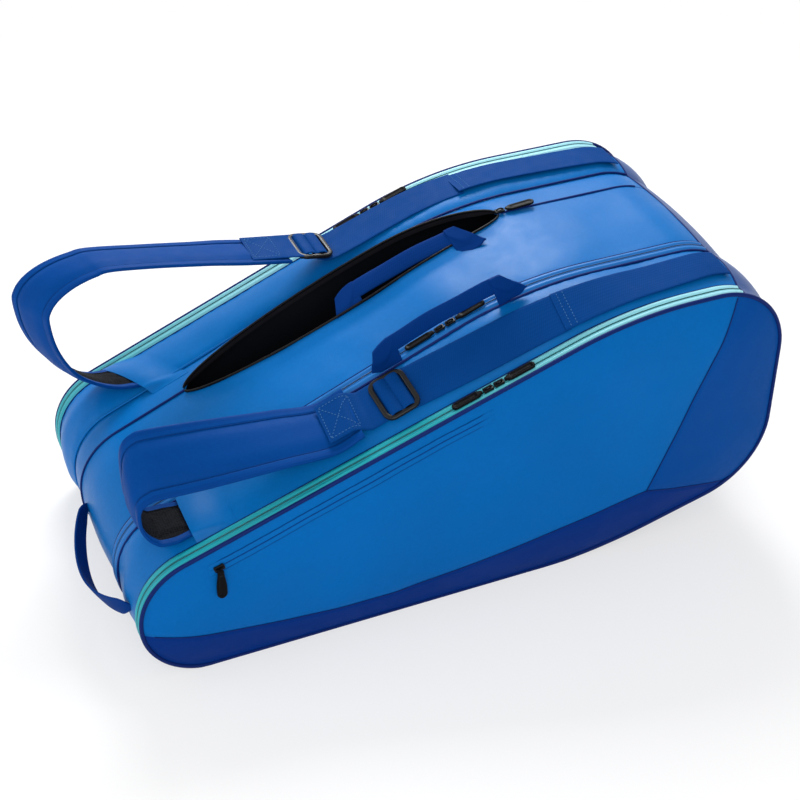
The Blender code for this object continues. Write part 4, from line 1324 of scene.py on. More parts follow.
    def build_seam_cords(self, finishes: Finishes, body: str) -> None:
        """Fine sewn lines along the seams of the patches."""
        xs = np.linspace(FORM.tail_x + 0.012, FORM.head_x - 0.008, 120)
        lines = [[self.face(x, self.base_seam(x), 0.0004) for x in xs if self.shows(x, self.base_seam(x))]]
        zs = np.linspace(self.corner[1], FORM.height - 0.008, 60)
        lines.append([self.face(self.head_seam(z), z, 0.0004) for z in zs if self.shows(self.head_seam(z), z)])
        cords = [tube("seam", line, 0.0007, sides=1) for line in lines]
        cord = join(f"{self.side.word}_panel_seams", cords)
        hand_over(dress(cord, finishes.piping), body, "navy")

    def shows(self, x: float, z: float) -> bool:
        """Whether a point lies inside the panel's rim."""
        low, high = self.bounds_at(x)
        return low + 0.002 < z < high - 0.002


@dataclass(frozen=True)
class SidePocket:
    """The near panel's pocket: a covered zip along the sloping edge and the bag behind it."""

    panel: SidePanel
    tail_x: float = -0.305
    length: float = 0.325
    edge: float = 0.013
    width: float = 0.012
    bag_tail_x: float = -0.195
    bag_head_x: float = 0.060
    bag_inset: float = 0.076
    slider_in: float = 0.012
    pull_length: float = 0.038

    @property
    def slope(self) -> float:
        """Slope of the panel's upper edge."""
        head = FORM.head_x - FORM.shoulder_back
        return (FORM.height - FORM.tail_top) / (head - FORM.tail_x)

    def spot(self, x: float, inset: float, lift: float) -> Vector:
        """Point of the panel's face at a distance in from its sloping edge."""
        drop = inset * math.hypot(1.0, self.slope)
        return self.panel.face(x, FORM.top_z(x, self.panel.edge_y) - drop, lift)

    def build(self, finishes: Finishes) -> None:
        """Build the welts, the zip and the pocket's bag."""
        head_x = self.tail_x + self.length

        def welt(u: float, v: float) -> Vector:
            """Point of the covering welts: two flat lips that meet over the coil."""
            x = mix(self.tail_x, head_x, u)
            swell = 0.0011 * abs(math.sin(math.tau * v)) ** 0.6
            fade = ease(u / 0.02) * ease((1.0 - u) / 0.02)
            return self.spot(x, self.edge + self.width * v, 0.0003 + swell * fade)

        tape = laid_grid("pocket_welts", (160, 14), welt, (self.length, self.width))
        turn_to(tape, Vector((0, -1, 0)))
        thicken(tape, 0.0009)
        smooth(tape, 60)
        hand_over(dress(tape, finishes.shell), "near_door", "mid_blue", "pocket_zip_tape")
        lines = ((self.edge, 0.0004), (self.edge + self.width / 2, 0.0008), (self.edge + self.width, 0.0004))
        seams = []
        for inset, radius in lines:
            route = []
            for step in range(121):
                u = step / 120
                sink = 1.0 - ease(min(u, 1.0 - u) / 0.06)
                route.append(self.spot(mix(self.tail_x, head_x, u), inset, 0.0004 - 0.0016 * sink))
            seams.append(tube("seam", route, radius, sides=1))
        hand_over(dress(join("pocket_seams", seams), finishes.blue_thread), "near_door", "navy")
        self.build_bag(finishes)
        self.build_slider(finishes)

    def build_bag(self, finishes: Finishes) -> None:
        """The slack cloth bag behind the panel."""
        back = self.panel.edge_y - self.panel.crown + 0.0042

        def place(u: float, v: float) -> Vector:
            """Point of the bag's cloth."""
            x = mix(self.bag_tail_x, self.bag_head_x, u)
            top = FORM.top_z(x, self.panel.edge_y) - self.bag_inset * math.hypot(1.0, self.slope)
            z = mix(self.bag_inset, top, v)
            sag = 0.0012 * math.sin(math.pi * u) * math.sin(math.pi * v)
            return Vector((x, back + sag + crease(Vector((x, 0, z)), 0.04, 0.0006), z))

        bag = laid_grid("pocket_bag_cloth", (70, 30), place, (0.255, 0.12))
        turn_to(bag, Vector((0, 1, 0)))
        thicken(bag, 0.0007)
        smooth(bag, 60)
        hand_over(dress(bag, finishes.lining), "near_door", "lining", "pocket_bag")

    def build_slider(self, finishes: Finishes) -> None:
        """The slider with its hanging teardrop pull."""
        x = self.tail_x + self.slider_in
        at = self.spot(x, self.edge + self.width / 2, 0.0)
        ahead = self.spot(x + 0.004, self.edge + self.width / 2, 0.0) - at
        along = Vector((ahead.x, 0.0, ahead.z)).normalized()
        out = Vector((0.0, -1.0, 0.0))
        seat = Matrix((along, out.cross(along), out)).transposed().to_4x4()
        seat.translation = at
        slider = ZipSlider("pocket").body_mesh(seat)
        hand_over(dress(slider, finishes.slider), "pocket_slider", "black_plastic", "pocket_slider")
        low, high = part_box("pocket_pull")
        top = Vector(((low[0] + high[0]) / 2, (low[1] + high[1]) / 2, high[2]))
        hang = Matrix((Vector((0, 0, -1)), Vector((-1, 0, 0)), Vector((0, -1, 0)))).transposed().to_4x4()
        hang.translation = top
        pull = ZipPull("pocket", self.pull_length, 0.0115, drop=True).mesh(hang)
        hand_over(dress(pull, finishes.rubber), "pocket_pull", "black_plastic", "pocket_pull")


# Zip sliders and pulls


@dataclass(frozen=True)
class ZipSlider:
    """A zip slider: a waisted shell with a bridge that holds its pull."""

    name: str
    length: float = 0.012
    width: float = 0.009
    height: float = 0.0045
    lift: float = 0.0012

    def body_mesh(self, seat: Matrix) -> Object:
        """Model the slider on its seat."""
        deselect()
        bpy.ops.mesh.primitive_cube_add(size=1.0)
        shell = named(f"{self.name}_slider_shell")
        size = Vector((self.length, self.width, self.height * 0.62))
        shell.data.transform(Matrix.Diagonal((*size, 1.0)))
        in_edit(shell, lambda: bpy.ops.mesh.subdivide(number_cuts=3))
        for vert in shell.data.vertices:
            share = vert.co.x / self.length + 0.5
            vert.co.y *= 1.0 - 0.34 * math.sin(math.pi * share) ** 2 * (0.4 + share)
            if vert.co.z > 0:
                vert.co.z *= 1.0 - 0.25 * abs(2.0 * share - 1.0) ** 3
        in_edit(shell, lambda: bpy.ops.mesh.vertices_smooth(factor=0.35, repeat=2))
        apply(shell, "SUBSURF", levels=1, render_levels=1)
        shell.data.transform(Matrix.Translation((0, 0, self.lift + self.height * 0.31)))
        arch = []
        for step in range(13):
            angle = math.pi * step / 12
            rise = self.height * (0.58 + 0.42 * math.sin(angle))
            arch.append(Vector((-self.length * 0.32 * math.cos(angle), 0, rise + self.lift)))
        bridge = tube(f"{self.name}_bridge", arch, 0.0009)
        slider = join(f"{self.name}_slider_shell", [shell, bridge])
        slider.data.transform(seat)
        smooth(slider, 50)
        return slider


@dataclass(frozen=True)
class ZipPull:
    """A long rubber pull: a narrow neck, a flat grip with round ends and a groove down its middle."""

    name: str
    length: float = 0.036
    width: float = 0.0105
    thickness: float = 0.0032
    neck: float = 0.2
    drop: bool = False

    def half_width(self, share: float) -> float:
        """Half the pull's width at a share of its length."""
        if self.drop:
            body = 0.62 + 0.38 * ease((share - 0.05) / 0.6)
        else:
            body = 0.5 + 0.5 * ease(share / self.neck)
        radius = self.width / 2 / self.length
        tip = max(0.0, 1.0 - max(0.0, (share - 1.0 + radius) / radius) ** 2) ** 0.5
        start = max(0.0, 1.0 - max(0.0, (0.05 - share) / 0.05) ** 2) ** 0.5
        return self.width / 2 * body * max(0.06, min(tip, start))

    def mesh(self, seat: Matrix) -> Object:
        """Model the pull, lying along its seat's local X."""
        count = 28
        ring: list[tuple[float, float]] = []
        for step in range(count):
            angle = math.tau * step / count
            a, b = math.cos(angle), math.sin(angle)
            ring.append((math.copysign(abs(a) ** 0.8, a), math.copysign(abs(b) ** 0.55, b)))

        def place(u: float, v: float) -> Vector:
            """Point of the pull's skin."""
            share = 0.5 - 0.5 * math.cos(math.pi * u)
            a, b = ring[round(v * count) % count]
            half = self.half_width(share)
            inside = ease((share - 0.16) / 0.06) * ease((0.93 - share) / 0.05)
            groove = 0.62 * inside * (1.0 - ease((abs(a) - 0.35) / 0.3)) if b > 0 else 0.0
            thick = self.thickness / 2 * min(1.0, half / (self.thickness * 0.5))
            return Vector((share * self.length, a * half, thick * (b - groove)))

        pull = laid_grid(f"{self.name}_pull_grip", (44, count), place, (self.length, self.width))
        in_edit(pull, merge(), cap(), face_out())
        turns = np.linspace(0, math.tau, 17)[:-1]
        eye = [Vector((0.0014 + 0.0014 * math.cos(t), 0.0024 * math.sin(t), 0)) for t in turns]
        loop = tube(f"{self.name}_eye", eye, 0.0008, closed=True)
        pull = join(f"{self.name}_pull_grip", [pull, loop])
        pull.data.transform(seat)
        smooth(pull, 40)
        return pull


@dataclass(frozen=True)
class ZipFittings:
    """The sliders and pulls that run on the top's zips."""

    near_meet_x: float = 0.027
    centre_meet_x: float = 0.0102
    shoe_x: float = 0.141
    apart: float = 0.0063
    tape_lift: float = 0.0013
    shoe_lift: float = 0.0045
    hinge: float = 0.0076
    pull_lift: float = 0.0029
    pull_width: float = 0.0105
    slim_width: float = 0.0088

    def build(self, finishes: Finishes) -> None:
        """Build each slider with its pull."""
        pairs = (
            ("near", self.near_meet_x, -FORM.zip_y),
            ("far", self.near_meet_x, FORM.zip_y),
            ("centre", self.centre_meet_x, FORM.centre_zip_y),
        )
        for word, x, y in pairs:
            for end, sign in (("tail", -1), ("head", 1)):
                seat = FORM.seat(x + sign * self.apart, y, self.tape_lift)
                self.fit(f"{word}_{end}", seat, sign, finishes)
        self.fit("shoe", FORM.seat(self.shoe_x, FORM.shoe_zip_y, self.shoe_lift), 1, finishes)

    def fit(self, name: str, seat: Matrix, sign: int, finishes: Finishes) -> None:
        """Fit one slider and its pull, which lies towards the tail or the head by its sign."""
        turn = Matrix.Rotation(0.0 if sign > 0 else math.pi, 4, "Z")
        slider = ZipSlider(name).body_mesh(seat @ turn)
        hand_over(dress(slider, finishes.slider), f"{name}_slider", "black_plastic", f"{name}_slider")
        hinge = Matrix.Translation((sign * self.hinge, 0.0, self.pull_lift)) @ turn
        width = self.slim_width if name.startswith("centre") else self.pull_width
        pull = ZipPull(name, width=width).mesh(seat @ hinge)
        hand_over(dress(pull, finishes.rubber), f"{name}_pull", "black_plastic", f"{name}_pull")


# Shoulder straps


def pad_section(width: float, thick: float, flange: float = 0.009, rim: float = 0.0042) -> Section:
    """Cross-section of a padded strap: thin bound edges, a sewn groove, a filled middle.

    Args:
        width: Full width.
        thick: Thickness in the middle.
        flange: Width of the bound edge outside the groove.
        rim: Thickness at the bound edge.

    Returns:
        Closed outline as (across, out) pairs, starting at one edge over the outer face.
    """
    half = width / 2
    upper = []
    for share in (1.0, 0.985, 0.93, 0.84, 0.76, 0.735, 0.71, 0.68, 0.62, 0.5, 0.34, 0.17, 0.0):
        a = half * share
        inside = half - a
        if inside < flange:
            height = rim / 2 * min(1.0, 0.35 + 60 * inside / 0.06)
        else:
            rise = ease((inside - flange) / 0.012)
            height = mix(rim / 2 - 0.0011, thick / 2, rise)
        upper.append((a, height))
    outer = upper + [(-a, height) for a, height in upper[-2::-1]]
    return outer + [(a, -height * 0.9) for a, height in outer[::-1]]


def ribbon_section(width: float, thick: float) -> Section:
    """Cross-section of flat webbing with soft selvedges."""
    half, t = width / 2, thick / 2
    upper = [(half, 0.35 * t), (half - t, t), (half * 0.86, t), (half * 0.5, 0.96 * t), (0.0, 0.95 * t)]
    outer = upper + [(-a, height) for a, height in upper[-2::-1]]
    return outer + [(a, -height) for a, height in outer[::-1]]


def strip_on_top(
    x0: float, x1: float, line: Callable[[float], float], lift: Callable[[float], float], count: int
) -> list[Station]:
    """Cross-section places of a strap that lies along the top.

    Args:
        x0: Where it starts.
        x1: Where it ends.
        line: Station of its middle line at an x.
        lift: Its height above the cloth at an x.
        count: Number of places.

    Returns:
        The places, from the start to the end.
    """
    centres = []
    across = []
    for step in range(count):
        x = mix(x0, x1, step / (count - 1))
        y = line(x)
        centres.append(FORM.on_top(x, y, lift(x)))
        rise = FORM.on_top(x, y + 0.02, lift(x)) - FORM.on_top(x, y - 0.02, lift(x))
        across.append(Vector((0.0, rise.y, rise.z)))
    return stations_of(centres, across)


@dataclass(frozen=True)
class Buckle:
    """A two-slot adjuster: a rounded frame with a middle bar under the webbing."""

    length: float = 0.044
    width: float = 0.055
    rail: float = 0.0060
    height: float = 0.0050
    corner: float = 0.0085

    def mesh(self, name: str, seat: Matrix) -> Object:
        """Model the buckle on its seat."""
        half_x, half_y = self.length / 2 - self.rail / 2, self.width / 2 - self.rail / 2
        points = []
        for quarter, (sx, sy) in enumerate(((1, 1), (-1, 1), (-1, -1), (1, -1))):
            for step in range(8):
                angle = math.pi / 2 * (quarter + step / 7)
                x = sx * (half_x - self.corner) + self.corner * math.cos(angle)
                y = sy * (half_y - self.corner) + self.corner * math.sin(angle)
                points.append(Vector((x, y, 0.0)))
        section = []
        for step in range(14):
            angle = math.tau * step / 14
            a, b = math.cos(angle), math.sin(angle)
            a, b = (math.copysign(abs(part) ** 0.6, part) for part in (a, b))
            section.append((a * self.rail / 2, b * self.height / 2))
        route = []
        for i, point in enumerate(points):
            along = (points[(i + 1) % len(points)] - points[i - 1]).normalized()
            route.append(Station(point, along.cross(Vector((0, 0, 1))), Vector((0, 0, 1))))
        ring = swept(f"{name}_ring", route, section, closed=True)
        ends = [Vector((0.0, half_y * share, -0.0012)) for share in (-1.0, -0.5, 0.0, 0.5, 1.0)]
        slim = [(a * 0.9, b * 0.5) for a, b in section]
        bar = swept(f"{name}_bar", stations_of(ends, [Vector((1, 0, 0))] * 5), slim)
        buckle = join(name, [ring, bar])
        buckle.data.transform(seat)
        smooth(buckle, 50)
        return buckle


@dataclass(frozen=True)
class ShoulderStrap:
    """Sizes that both shoulder straps share, and the pieces sewn to them."""

    side: Side
    pad_width: float = 0.066
    band_width: float = 0.052
    pad: float = 0.0085
    webbing: float = 0.0017
    slot_x: float = -0.302
    pad_head_x: float = -0.112
    tab_tail_x: float = -0.145
    buckle_x: float = -0.068
    stitch_x: float = 0.122
    band_end_x: float = 0.3225
    slot_back: float = 0.005
    slot_slant: float = 0.0
    flap: float = 0.044
    flap_rise: float = 0.0086
    flap_side: float = 0.014
    root_narrow: float = 1.0
    band_taper: float = 0.82
    band_bow: float = 0.010

    @property
    def y(self) -> float:
        """Station of the strap's middle line."""
        return self.side.value * FORM.strap_y

    @property
    def carrier(self) -> str:
        """Body that the strap's root is sewn to."""
        return "near_module" if self.side is Side.NEAR else "body"

    @property
    def body(self) -> str:
        """Body of the strap's free part."""
        return f"{self.side.word}_strap"

    def sew_pad(self, route: list[Station], pivot: Vector, lean: Vector, finishes: Finishes) -> None:
        """Build root and pad as one padded piece.

        Args:
            route: Cross-section places from the root to the pad's head.
            pivot: Point of the joint; not used.
            lean: Direction along which the root passes into the pad there; not used.
            finishes: The bag's finishes.
        """
        word = self.side.word
        section = pad_section(self.pad_width, self.pad)
        pad = swept(f"{word}_strap_padding", route, section)
        dress(pad, finishes.strap, finishes.binding, finishes.mesh)
        self.paint_pad(pad, section)
        smooth(pad, 60)
        self.carrier
        self.body
        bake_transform(pad)
        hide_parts(f"{word}_strap_root", f"{word}_strap_pad")
        lines = []
        for sign in (-1, 1):
            a = sign * (self.pad_width / 2 - 0.0098)
            lines.append([stop.centre + stop.across * a * stop.spread + stop.out * 0.0015 for stop in route])
        seams = join(f"{word}_strap_seams", [tube("seam", line, 0.0005, sides=1) for line in lines])
        dress(seams, finishes.blue_thread)
        self.carrier
        self.body
        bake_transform(seams)

    def paint_pad(self, pad: Object, section: Section) -> None:
        """Bind the pad's edges and face its underside with mesh, by the map round its section."""
        count = len(section)
        girth = sum(math.dist(section[i - 1], section[i]) for i in range(count))
        layer = pad.data.uv_layers[0].data
        for face in pad.data.polygons:
            if len(face.vertices) > 4:
                face.material_index = 1
                continue
            share = sum(layer[i].uv.y for i in face.loop_indices) / len(face.loop_indices) / girth
            first = int(share * count) % count
            across = abs(section[first][0] + section[(first + 1) % count][0]) / 2
            inside = self.pad_width / 2 - across
            if inside < 0.004:
                face.material_index = 1
            elif first >= count // 2 and inside > 0.008:
                face.material_index = 2

    def sew_tab(self, route: list[Station], finishes: Finishes) -> None:
        """The stitched tab that joins the pad to the buckle, with its box of stitches."""
        word = self.side.word
        tab = swept(f"{word}_strap_tab_webbing", route, ribbon_section(self.band_width, self.webbing))
        smooth(tab, 60)
        hand_over(dress(tab, finishes.webbing), self.body, "deep_blue", f"{word}_strap_tab")
        edge = self.band_width / 2 - 0.005
        top = self.webbing / 2 + 0.0001

        def spot(share: float, a: float) -> Vector:
            """Point on the tab's face."""
            at = share * (len(route) - 1)
            i = min(int(at), len(route) - 2)
            here, there = route[i], route[i + 1]
            centre = here.centre.lerp(there.centre, at - i)
            return centre + here.across * a + here.out * top

        def row(a: tuple[float, float], b: tuple[float, float]) -> list[Vector]:
            """A straight row of the box between two corners."""
            return [spot(mix(a[0], b[0], s / 16), mix(a[1], b[1], s / 16)) for s in range(17)]

        box = [(0.05, -edge), (0.05, edge), (0.56, edge), (0.56, -edge)]
        rows = [row(a, b) for a, b in zip(box, box[1:] + box[:1])]
        rows += [row(box[0], box[2]), row(box[1], box[3])]
        stitches = StitchRow(0.0040, 0.0026).sew(f"{word}_tab_stitches", rows, route[0].out)
        hand_over(dress(stitches, finishes.pale_thread), self.body, "deep_blue")

    def sew_buckle(self, seat: Matrix, finishes: Finishes) -> None:
        """The buckle, and the webbing threaded over its bar."""
        word = self.side.word
        buckle = Buckle().mesh(f"{word}_strap_adjuster", seat)
        hand_over(dress(buckle, finishes.buckle), self.body, "black_plastic", f"{word}_strap_buckle")
        centres = []
        for step in range(61):
            x = mix(-0.0185, 0.0185, step / 60)
            over = 0.0032 * abs(math.sin(math.pi * x / 0.0145)) ** 0.6 if abs(x) < 0.0145 else 0.0
            fall = 0.0040 * ease((abs(x) - 0.0125) / 0.004)
            centres.append(seat @ Vector((x, 0.0, 0.0010 + over - fall)))
        across = (seat.to_3x3() @ Vector((0, 1, 0))).normalized()
        route = stations_of(centres, [across] * len(centres))
        loop = swept(f"{word}_buckle_webbing", route, ribbon_section(self.band_width * 0.88, self.webbing))
        smooth(loop, 60)
        hand_over(dress(loop, finishes.webbing), self.body, "deep_blue")

    def sew_run(self, strap: Object) -> None:
        """Bake the adjusting webbing's placement and hide the imported webbing that it replaces."""
        start = FORM.on_top(self.stitch_x - 0.020, self.y)
        end = FORM.on_top(self.buckle_x + 0.012, self.y)
        self.carrier
        self.body
        tuple(start)
        tuple(end)
        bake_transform(strap)
        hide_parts(f"{self.side.word}_strap_webbing")

    def run(self, x: float) -> float:
        """Share of the way from the buckle to the head seam."""
        return min(1.0, max(0.0, (x - self.buckle_x) / (self.band_end_x - self.buckle_x)))

    def line(self, x: float) -> float:
        """Station of the webbing's middle line, which bows out to its side on the top."""
        return self.y + self.side.value * self.band_bow * math.sin(math.pi * self.run(x))

    def lay_webbing(self, x0: float, x1: float, lift: float) -> list[Station]:
        """Cross-section places of the webbing on the top, narrower towards the head."""
        stops = strip_on_top(x0, x1, self.line, lambda x: lift, 60)
        taper = self.band_taper
        return [Station(s.centre, s.across, s.out, mix(1.0, taper, ease(self.run(s.centre.x)))) for s in stops]

    def sew_band(self, finishes: Finishes) -> None:
        """The webbing sewn along the top from the strap's end to the head seam."""
        word = self.side.word
        ribbon = ribbon_section(self.band_width, self.webbing)
        route = self.lay_webbing(self.stitch_x - 0.004, self.band_end_x, 0.0024)
        band = swept(f"{word}_strap_band_webbing", route, ribbon)
        smooth(band, 60)
        hand_over(dress(band, finishes.webbing), self.carrier, "deep_blue", f"{word}_strap_band")
        rows = []
        half = (self.band_width / 2 - 0.002) * route[3].spread
        for stop in (route[2], route[4]):
            face = stop.centre + stop.out * (self.webbing / 2 + 0.0001)
            rows.append([face + stop.across * mix(-half, half, s / 12) for s in range(13)])
        stitches = StitchRow(0.0040, 0.0026).sew(f"{word}_band_stitches", rows, route[0].out)
        hand_over(dress(stitches, finishes.pale_thread), self.carrier, "deep_blue")

    def sew_slot(self, finishes: Finishes) -> None:
        """The flap of top cloth that the strap's root comes out from under."""
        half = self.pad_width / 2 + self.flap_side
        root = self.pad_width / 2 * self.root_narrow + 0.001

        def place(u: float, v: float) -> Vector:
            """Point of the flap, which rises over the root and runs out into the top."""
            a = mix(-half, half, u)
            x = self.slot_x - self.slot_back - a * math.tan(self.slot_slant) + v * self.flap
            sides = 1.0 - ease((abs(a) - root) / (half - root))
            return FORM.on_top(x, self.y + a, 0.0004 + self.flap_rise * sides * (1.0 - ease(v)))

        flap = laid_grid(f"{self.side.word}_strap_slot", (44, 16), place, (2 * half, self.flap))
        turn_to(flap, Vector((0, 0, 1)))
        thicken(flap, 0.0012)
        smooth(flap, 60)
        hand_over(dress(flap, finishes.top), self.carrier, "mid_blue")


@dataclass(frozen=True)
class NearStrap(ShoulderStrap):
    """The near strap, folded back over its root and lying along the top."""

    side: Side = Side.NEAR
    bend_radius: float = 0.047
    bend_inset: float = 0.012
    lying_lift: float = 0.0065
    roll: float = math.radians(38)
    landing_x: float = -0.145
    upper_spread: float = 1.16
    fold_square: float = 0.46
    fold_full: float = 0.72
    flap_side: float = 0.0015
    root_narrow: float = 0.82

    @property
    def bend_x(self) -> float:
        """Middle of the fold."""
        return FORM.tail_x + self.bend_inset + self.bend_radius

    @property
    def bend_z(self) -> float:
        """Height of the fold's middle."""
        return FORM.top_z(self.bend_x, self.y) + 0.0025 + self.bend_radius

    def build(self, finishes: Finishes) -> None:
        """Build every piece of the strap."""
        route = self.pad_route()
        pivot = Vector((FORM.tail_x + self.bend_inset, self.y, self.bend_z))
        self.sew_pad(route, pivot, Vector((0, 0, 1)), finishes)
        over = 2 * self.lying_lift - 0.0012
        low = 0.0036

        def height(x: float) -> float:
            """The tab's height above the cloth, from the pad down to the buckle."""
            return mix(over + self.pad / 2, low, ease((x - self.pad_head_x + 0.008) / 0.020))

        tab = strip_on_top(self.tab_tail_x, self.buckle_x - 0.016, self.line, height, 30)
        self.sew_tab(tab, finishes)
        seat = FORM.seat(self.buckle_x, self.y, FORM.bulge(self.y) + 0.0048, self.band_width / 2)
        self.sew_buckle(seat, finishes)
        route = self.lay_webbing(self.buckle_x, self.stitch_x + 0.002, 0.0011)
        strap = swept("near_strap_lying_webbing", route, ribbon_section(self.band_width, self.webbing))
        smooth(strap, 60)
        self.sew_run(dress(strap, finishes.webbing))
        self.sew_band(finishes)
        self.sew_slot(finishes)

    def pad_route(self) -> list[Station]:
        """Cross-section places from the root, round the fold and straight on to the pad's head."""
        radius = self.bend_radius - self.pad / 2
        flat = FORM.bulge(self.y)
        points = []
        for x, sink in ((0.000, 0.0008), (-0.010, 0.0)):
            points.append(FORM.on_top(self.slot_x + x, self.y, self.lying_lift - sink - flat))
        for angle in range(250, 90, -15):
            turn = math.radians(angle)
            a, b = math.cos(turn), math.sin(turn)
            if b > 0:
                a, b = -(abs(a) ** self.fold_square), b**self.fold_square
            else:
                a = -(abs(a) ** self.fold_full)
            points.append(Vector((self.bend_x + radius * a, self.y, self.bend_z + radius * b)))
        end = FORM.on_top(self.landing_x, self.y, 2 * self.lying_lift - flat)
        start = points[-1]
        points += [start.lerp(end, share) for share in (0.25, 0.5, 0.75, 1.0)]
        points.append(FORM.on_top(self.pad_head_x, self.y, 2 * self.lying_lift - flat))
        centres = smooth_route(points, 170)
        reach = self.pad_width / 2
        lie = FORM.top_z(end.x, self.y + reach) - FORM.top_z(end.x, self.y - reach)
        lying = math.atan2(lie, 2 * reach)
        across = []
        spreads = []
        for i, centre in enumerate(centres):
            climb = max(0.0, centre.z - self.bend_z) / radius
            tuck = 1.0 - ease(i / 12)
            narrow = ease((centre.x - self.landing_x + 0.05) / 0.09)
            upper = mix(1.0, self.upper_spread, ease(climb) * (1.0 - 0.7 * narrow))
            spreads.append(upper * mix(1.0, self.root_narrow, tuck))
            rolled = math.atan(math.tan(self.roll) * min(1.0, climb))
            along = (centre.x - start.x) / (end.x - start.x)
            roll = mix(rolled, lying, ease(along)) if along > 0 else rolled
            across.append(Vector((0.0, math.cos(roll), math.sin(roll))))
        return stations_of(centres, across, spreads)


@dataclass(frozen=True)
class FarStrap(ShoulderStrap):
    """The far strap, standing in an open loop from its root at the tail."""

    side: Side = Side.FAR
    bend_out: float = 0.022
    bend_drop: float = 0.035
    loop_rise: float = 0.017
    buckle_rise: float = 0.034
    landing_x: float = 0.030
    upper_bow: float = 0.006
    loop_reach: float = 0.085
    fold_yaw: float = math.radians(24)
    slot_back: float = 0.0
    slot_slant: float = math.radians(24)
    leg_roll: float = math.radians(8)

    @property
    def top(self) -> float:
        """Height of the loop."""
        return FORM.height + self.loop_rise

    @property
    def bend_z(self) -> float:
        """Height of the loop's foremost point."""
        return FORM.height - self.bend_drop

    @property
    def bend_x(self) -> float:
        """Middle of the loop's bend."""
        return FORM.tail_x - self.bend_out + self.top - self.bend_z

    def height(self, x: float) -> float:
        """Height of the loop's upper leg."""
        fall = self.top - FORM.top_z(self.buckle_x, self.y) - self.buckle_rise
        return self.top - fall * (x - self.bend_x) / (self.buckle_x - self.bend_x)

    def build(self, finishes: Finishes) -> None:
        """Build every piece of the strap."""
        pivot = Vector((FORM.tail_x - self.bend_out, self.y, self.bend_z))
        self.sew_pad(self.pad_route(), pivot, Vector((0.3, 0, 1)).normalized(), finishes)
        xs = np.linspace(self.tab_tail_x, self.buckle_x - 0.016, 26)
        centres = [Vector((x, self.y, self.height(x) + 0.0015)) for x in xs]
        across = Vector((0, 1, 0))
        self.sew_tab(stations_of(centres, [across] * len(centres)), finishes)
        ahead = self.height(self.buckle_x + 0.01) - self.height(self.buckle_x)
        slope = Matrix.Rotation(-math.atan2(ahead, 0.01), 4, "Y")
        seat = Matrix.Translation((self.buckle_x, self.y, self.height(self.buckle_x))) @ slope
        self.sew_buckle(seat, finishes)
        self.sew_webbing(finishes)
        self.sew_band(finishes)
        self.sew_slot(finishes)

    def sew_webbing(self, finishes: Finishes) -> None:
        """The webbing that falls from the buckle to the top and its stitching."""
        points = []
        for x in (self.buckle_x, self.buckle_x + 0.022):
            points.append(Vector((x, self.y, self.height(x) - 0.0034)))
        for share in (0.0, 0.35, 0.7, 1.0):
            x = mix(self.landing_x, self.stitch_x + 0.002, share)
            points.append(FORM.on_top(x, self.line(x), mix(0.0025, 0.0011, share)))
        centres = smooth_route(points, 60)
        spreads = [mix(1.0, self.band_taper, ease(self.run(centre.x))) for centre in centres]
        route = stations_of(centres, [Vector((0, 1, 0))] * len(centres), spreads)
        strap = swept("far_strap_falling_webbing", route, ribbon_section(self.band_width, self.webbing))
        smooth(strap, 60)
        self.sew_run(dress(strap, finishes.webbing))

    def pad_route(self) -> list[Station]:
        """Cross-section places from the root, round the open loop and along its upper leg."""
        half = self.pad / 2
        slot_z = FORM.top_z(self.slot_x, self.y) + half + 0.0025
        climb = self.bend_z - slot_z
        slope = (FORM.top_z(self.slot_x + 0.01, self.y) - FORM.top_z(self.slot_x - 0.01, self.y)) / 0.02
        out_x = FORM.tail_x - self.bend_out + half
        reach = self.slot_x - out_x
        points = []
        points.append(FORM.on_top(self.slot_x + 0.005, self.y, half + 0.0018 - FORM.bulge(self.y)))
        for turn in (15.0, 30.0, 45.0, 60.0, 75.0, 90.0):
            angle = math.radians(turn)
            x = self.slot_x - reach * math.sin(angle)
            points.append(Vector((x, self.y, slot_z + climb * (1 - math.cos(angle)))))
        turn_x = out_x + self.loop_reach
        rise = self.height(turn_x) - half + self.upper_bow - self.bend_z
        for turn in (165, 150, 135, 120, 105, 92):
            angle = math.radians(turn)
            x, z = turn_x + self.loop_reach * math.cos(angle), self.bend_z + rise * math.sin(angle)
            points.append(Vector((x, self.y, z)))
        for share in (0.25, 0.5, 0.75, 1.0):
            x = mix(turn_x, self.pad_head_x, share)
            bow = self.upper_bow * math.cos(math.pi / 2 * share)
            points.append(Vector((x, self.y, self.height(x) - half + bow)))
        centres = smooth_route(points, 170)
        across = []
        for centre in centres:
            upper = ease((centre.z - self.bend_z) / rise)
            run = ease((centre.x - out_x) / 0.16)
            yaw = self.fold_yaw * (1.0 - upper * run)
            roll = self.leg_roll * upper * run * (1.0 - 0.8 * ease((centre.x - self.tab_tail_x + 0.06) / 0.06))
            lie = math.sin(yaw) * slope * (1.0 - ease((centre.z - slot_z) / (0.4 * climb)))
            across.append(Vector((-math.sin(yaw), math.cos(yaw), -lie - math.tan(roll))))
        return stations_of(centres, across)


# Handles


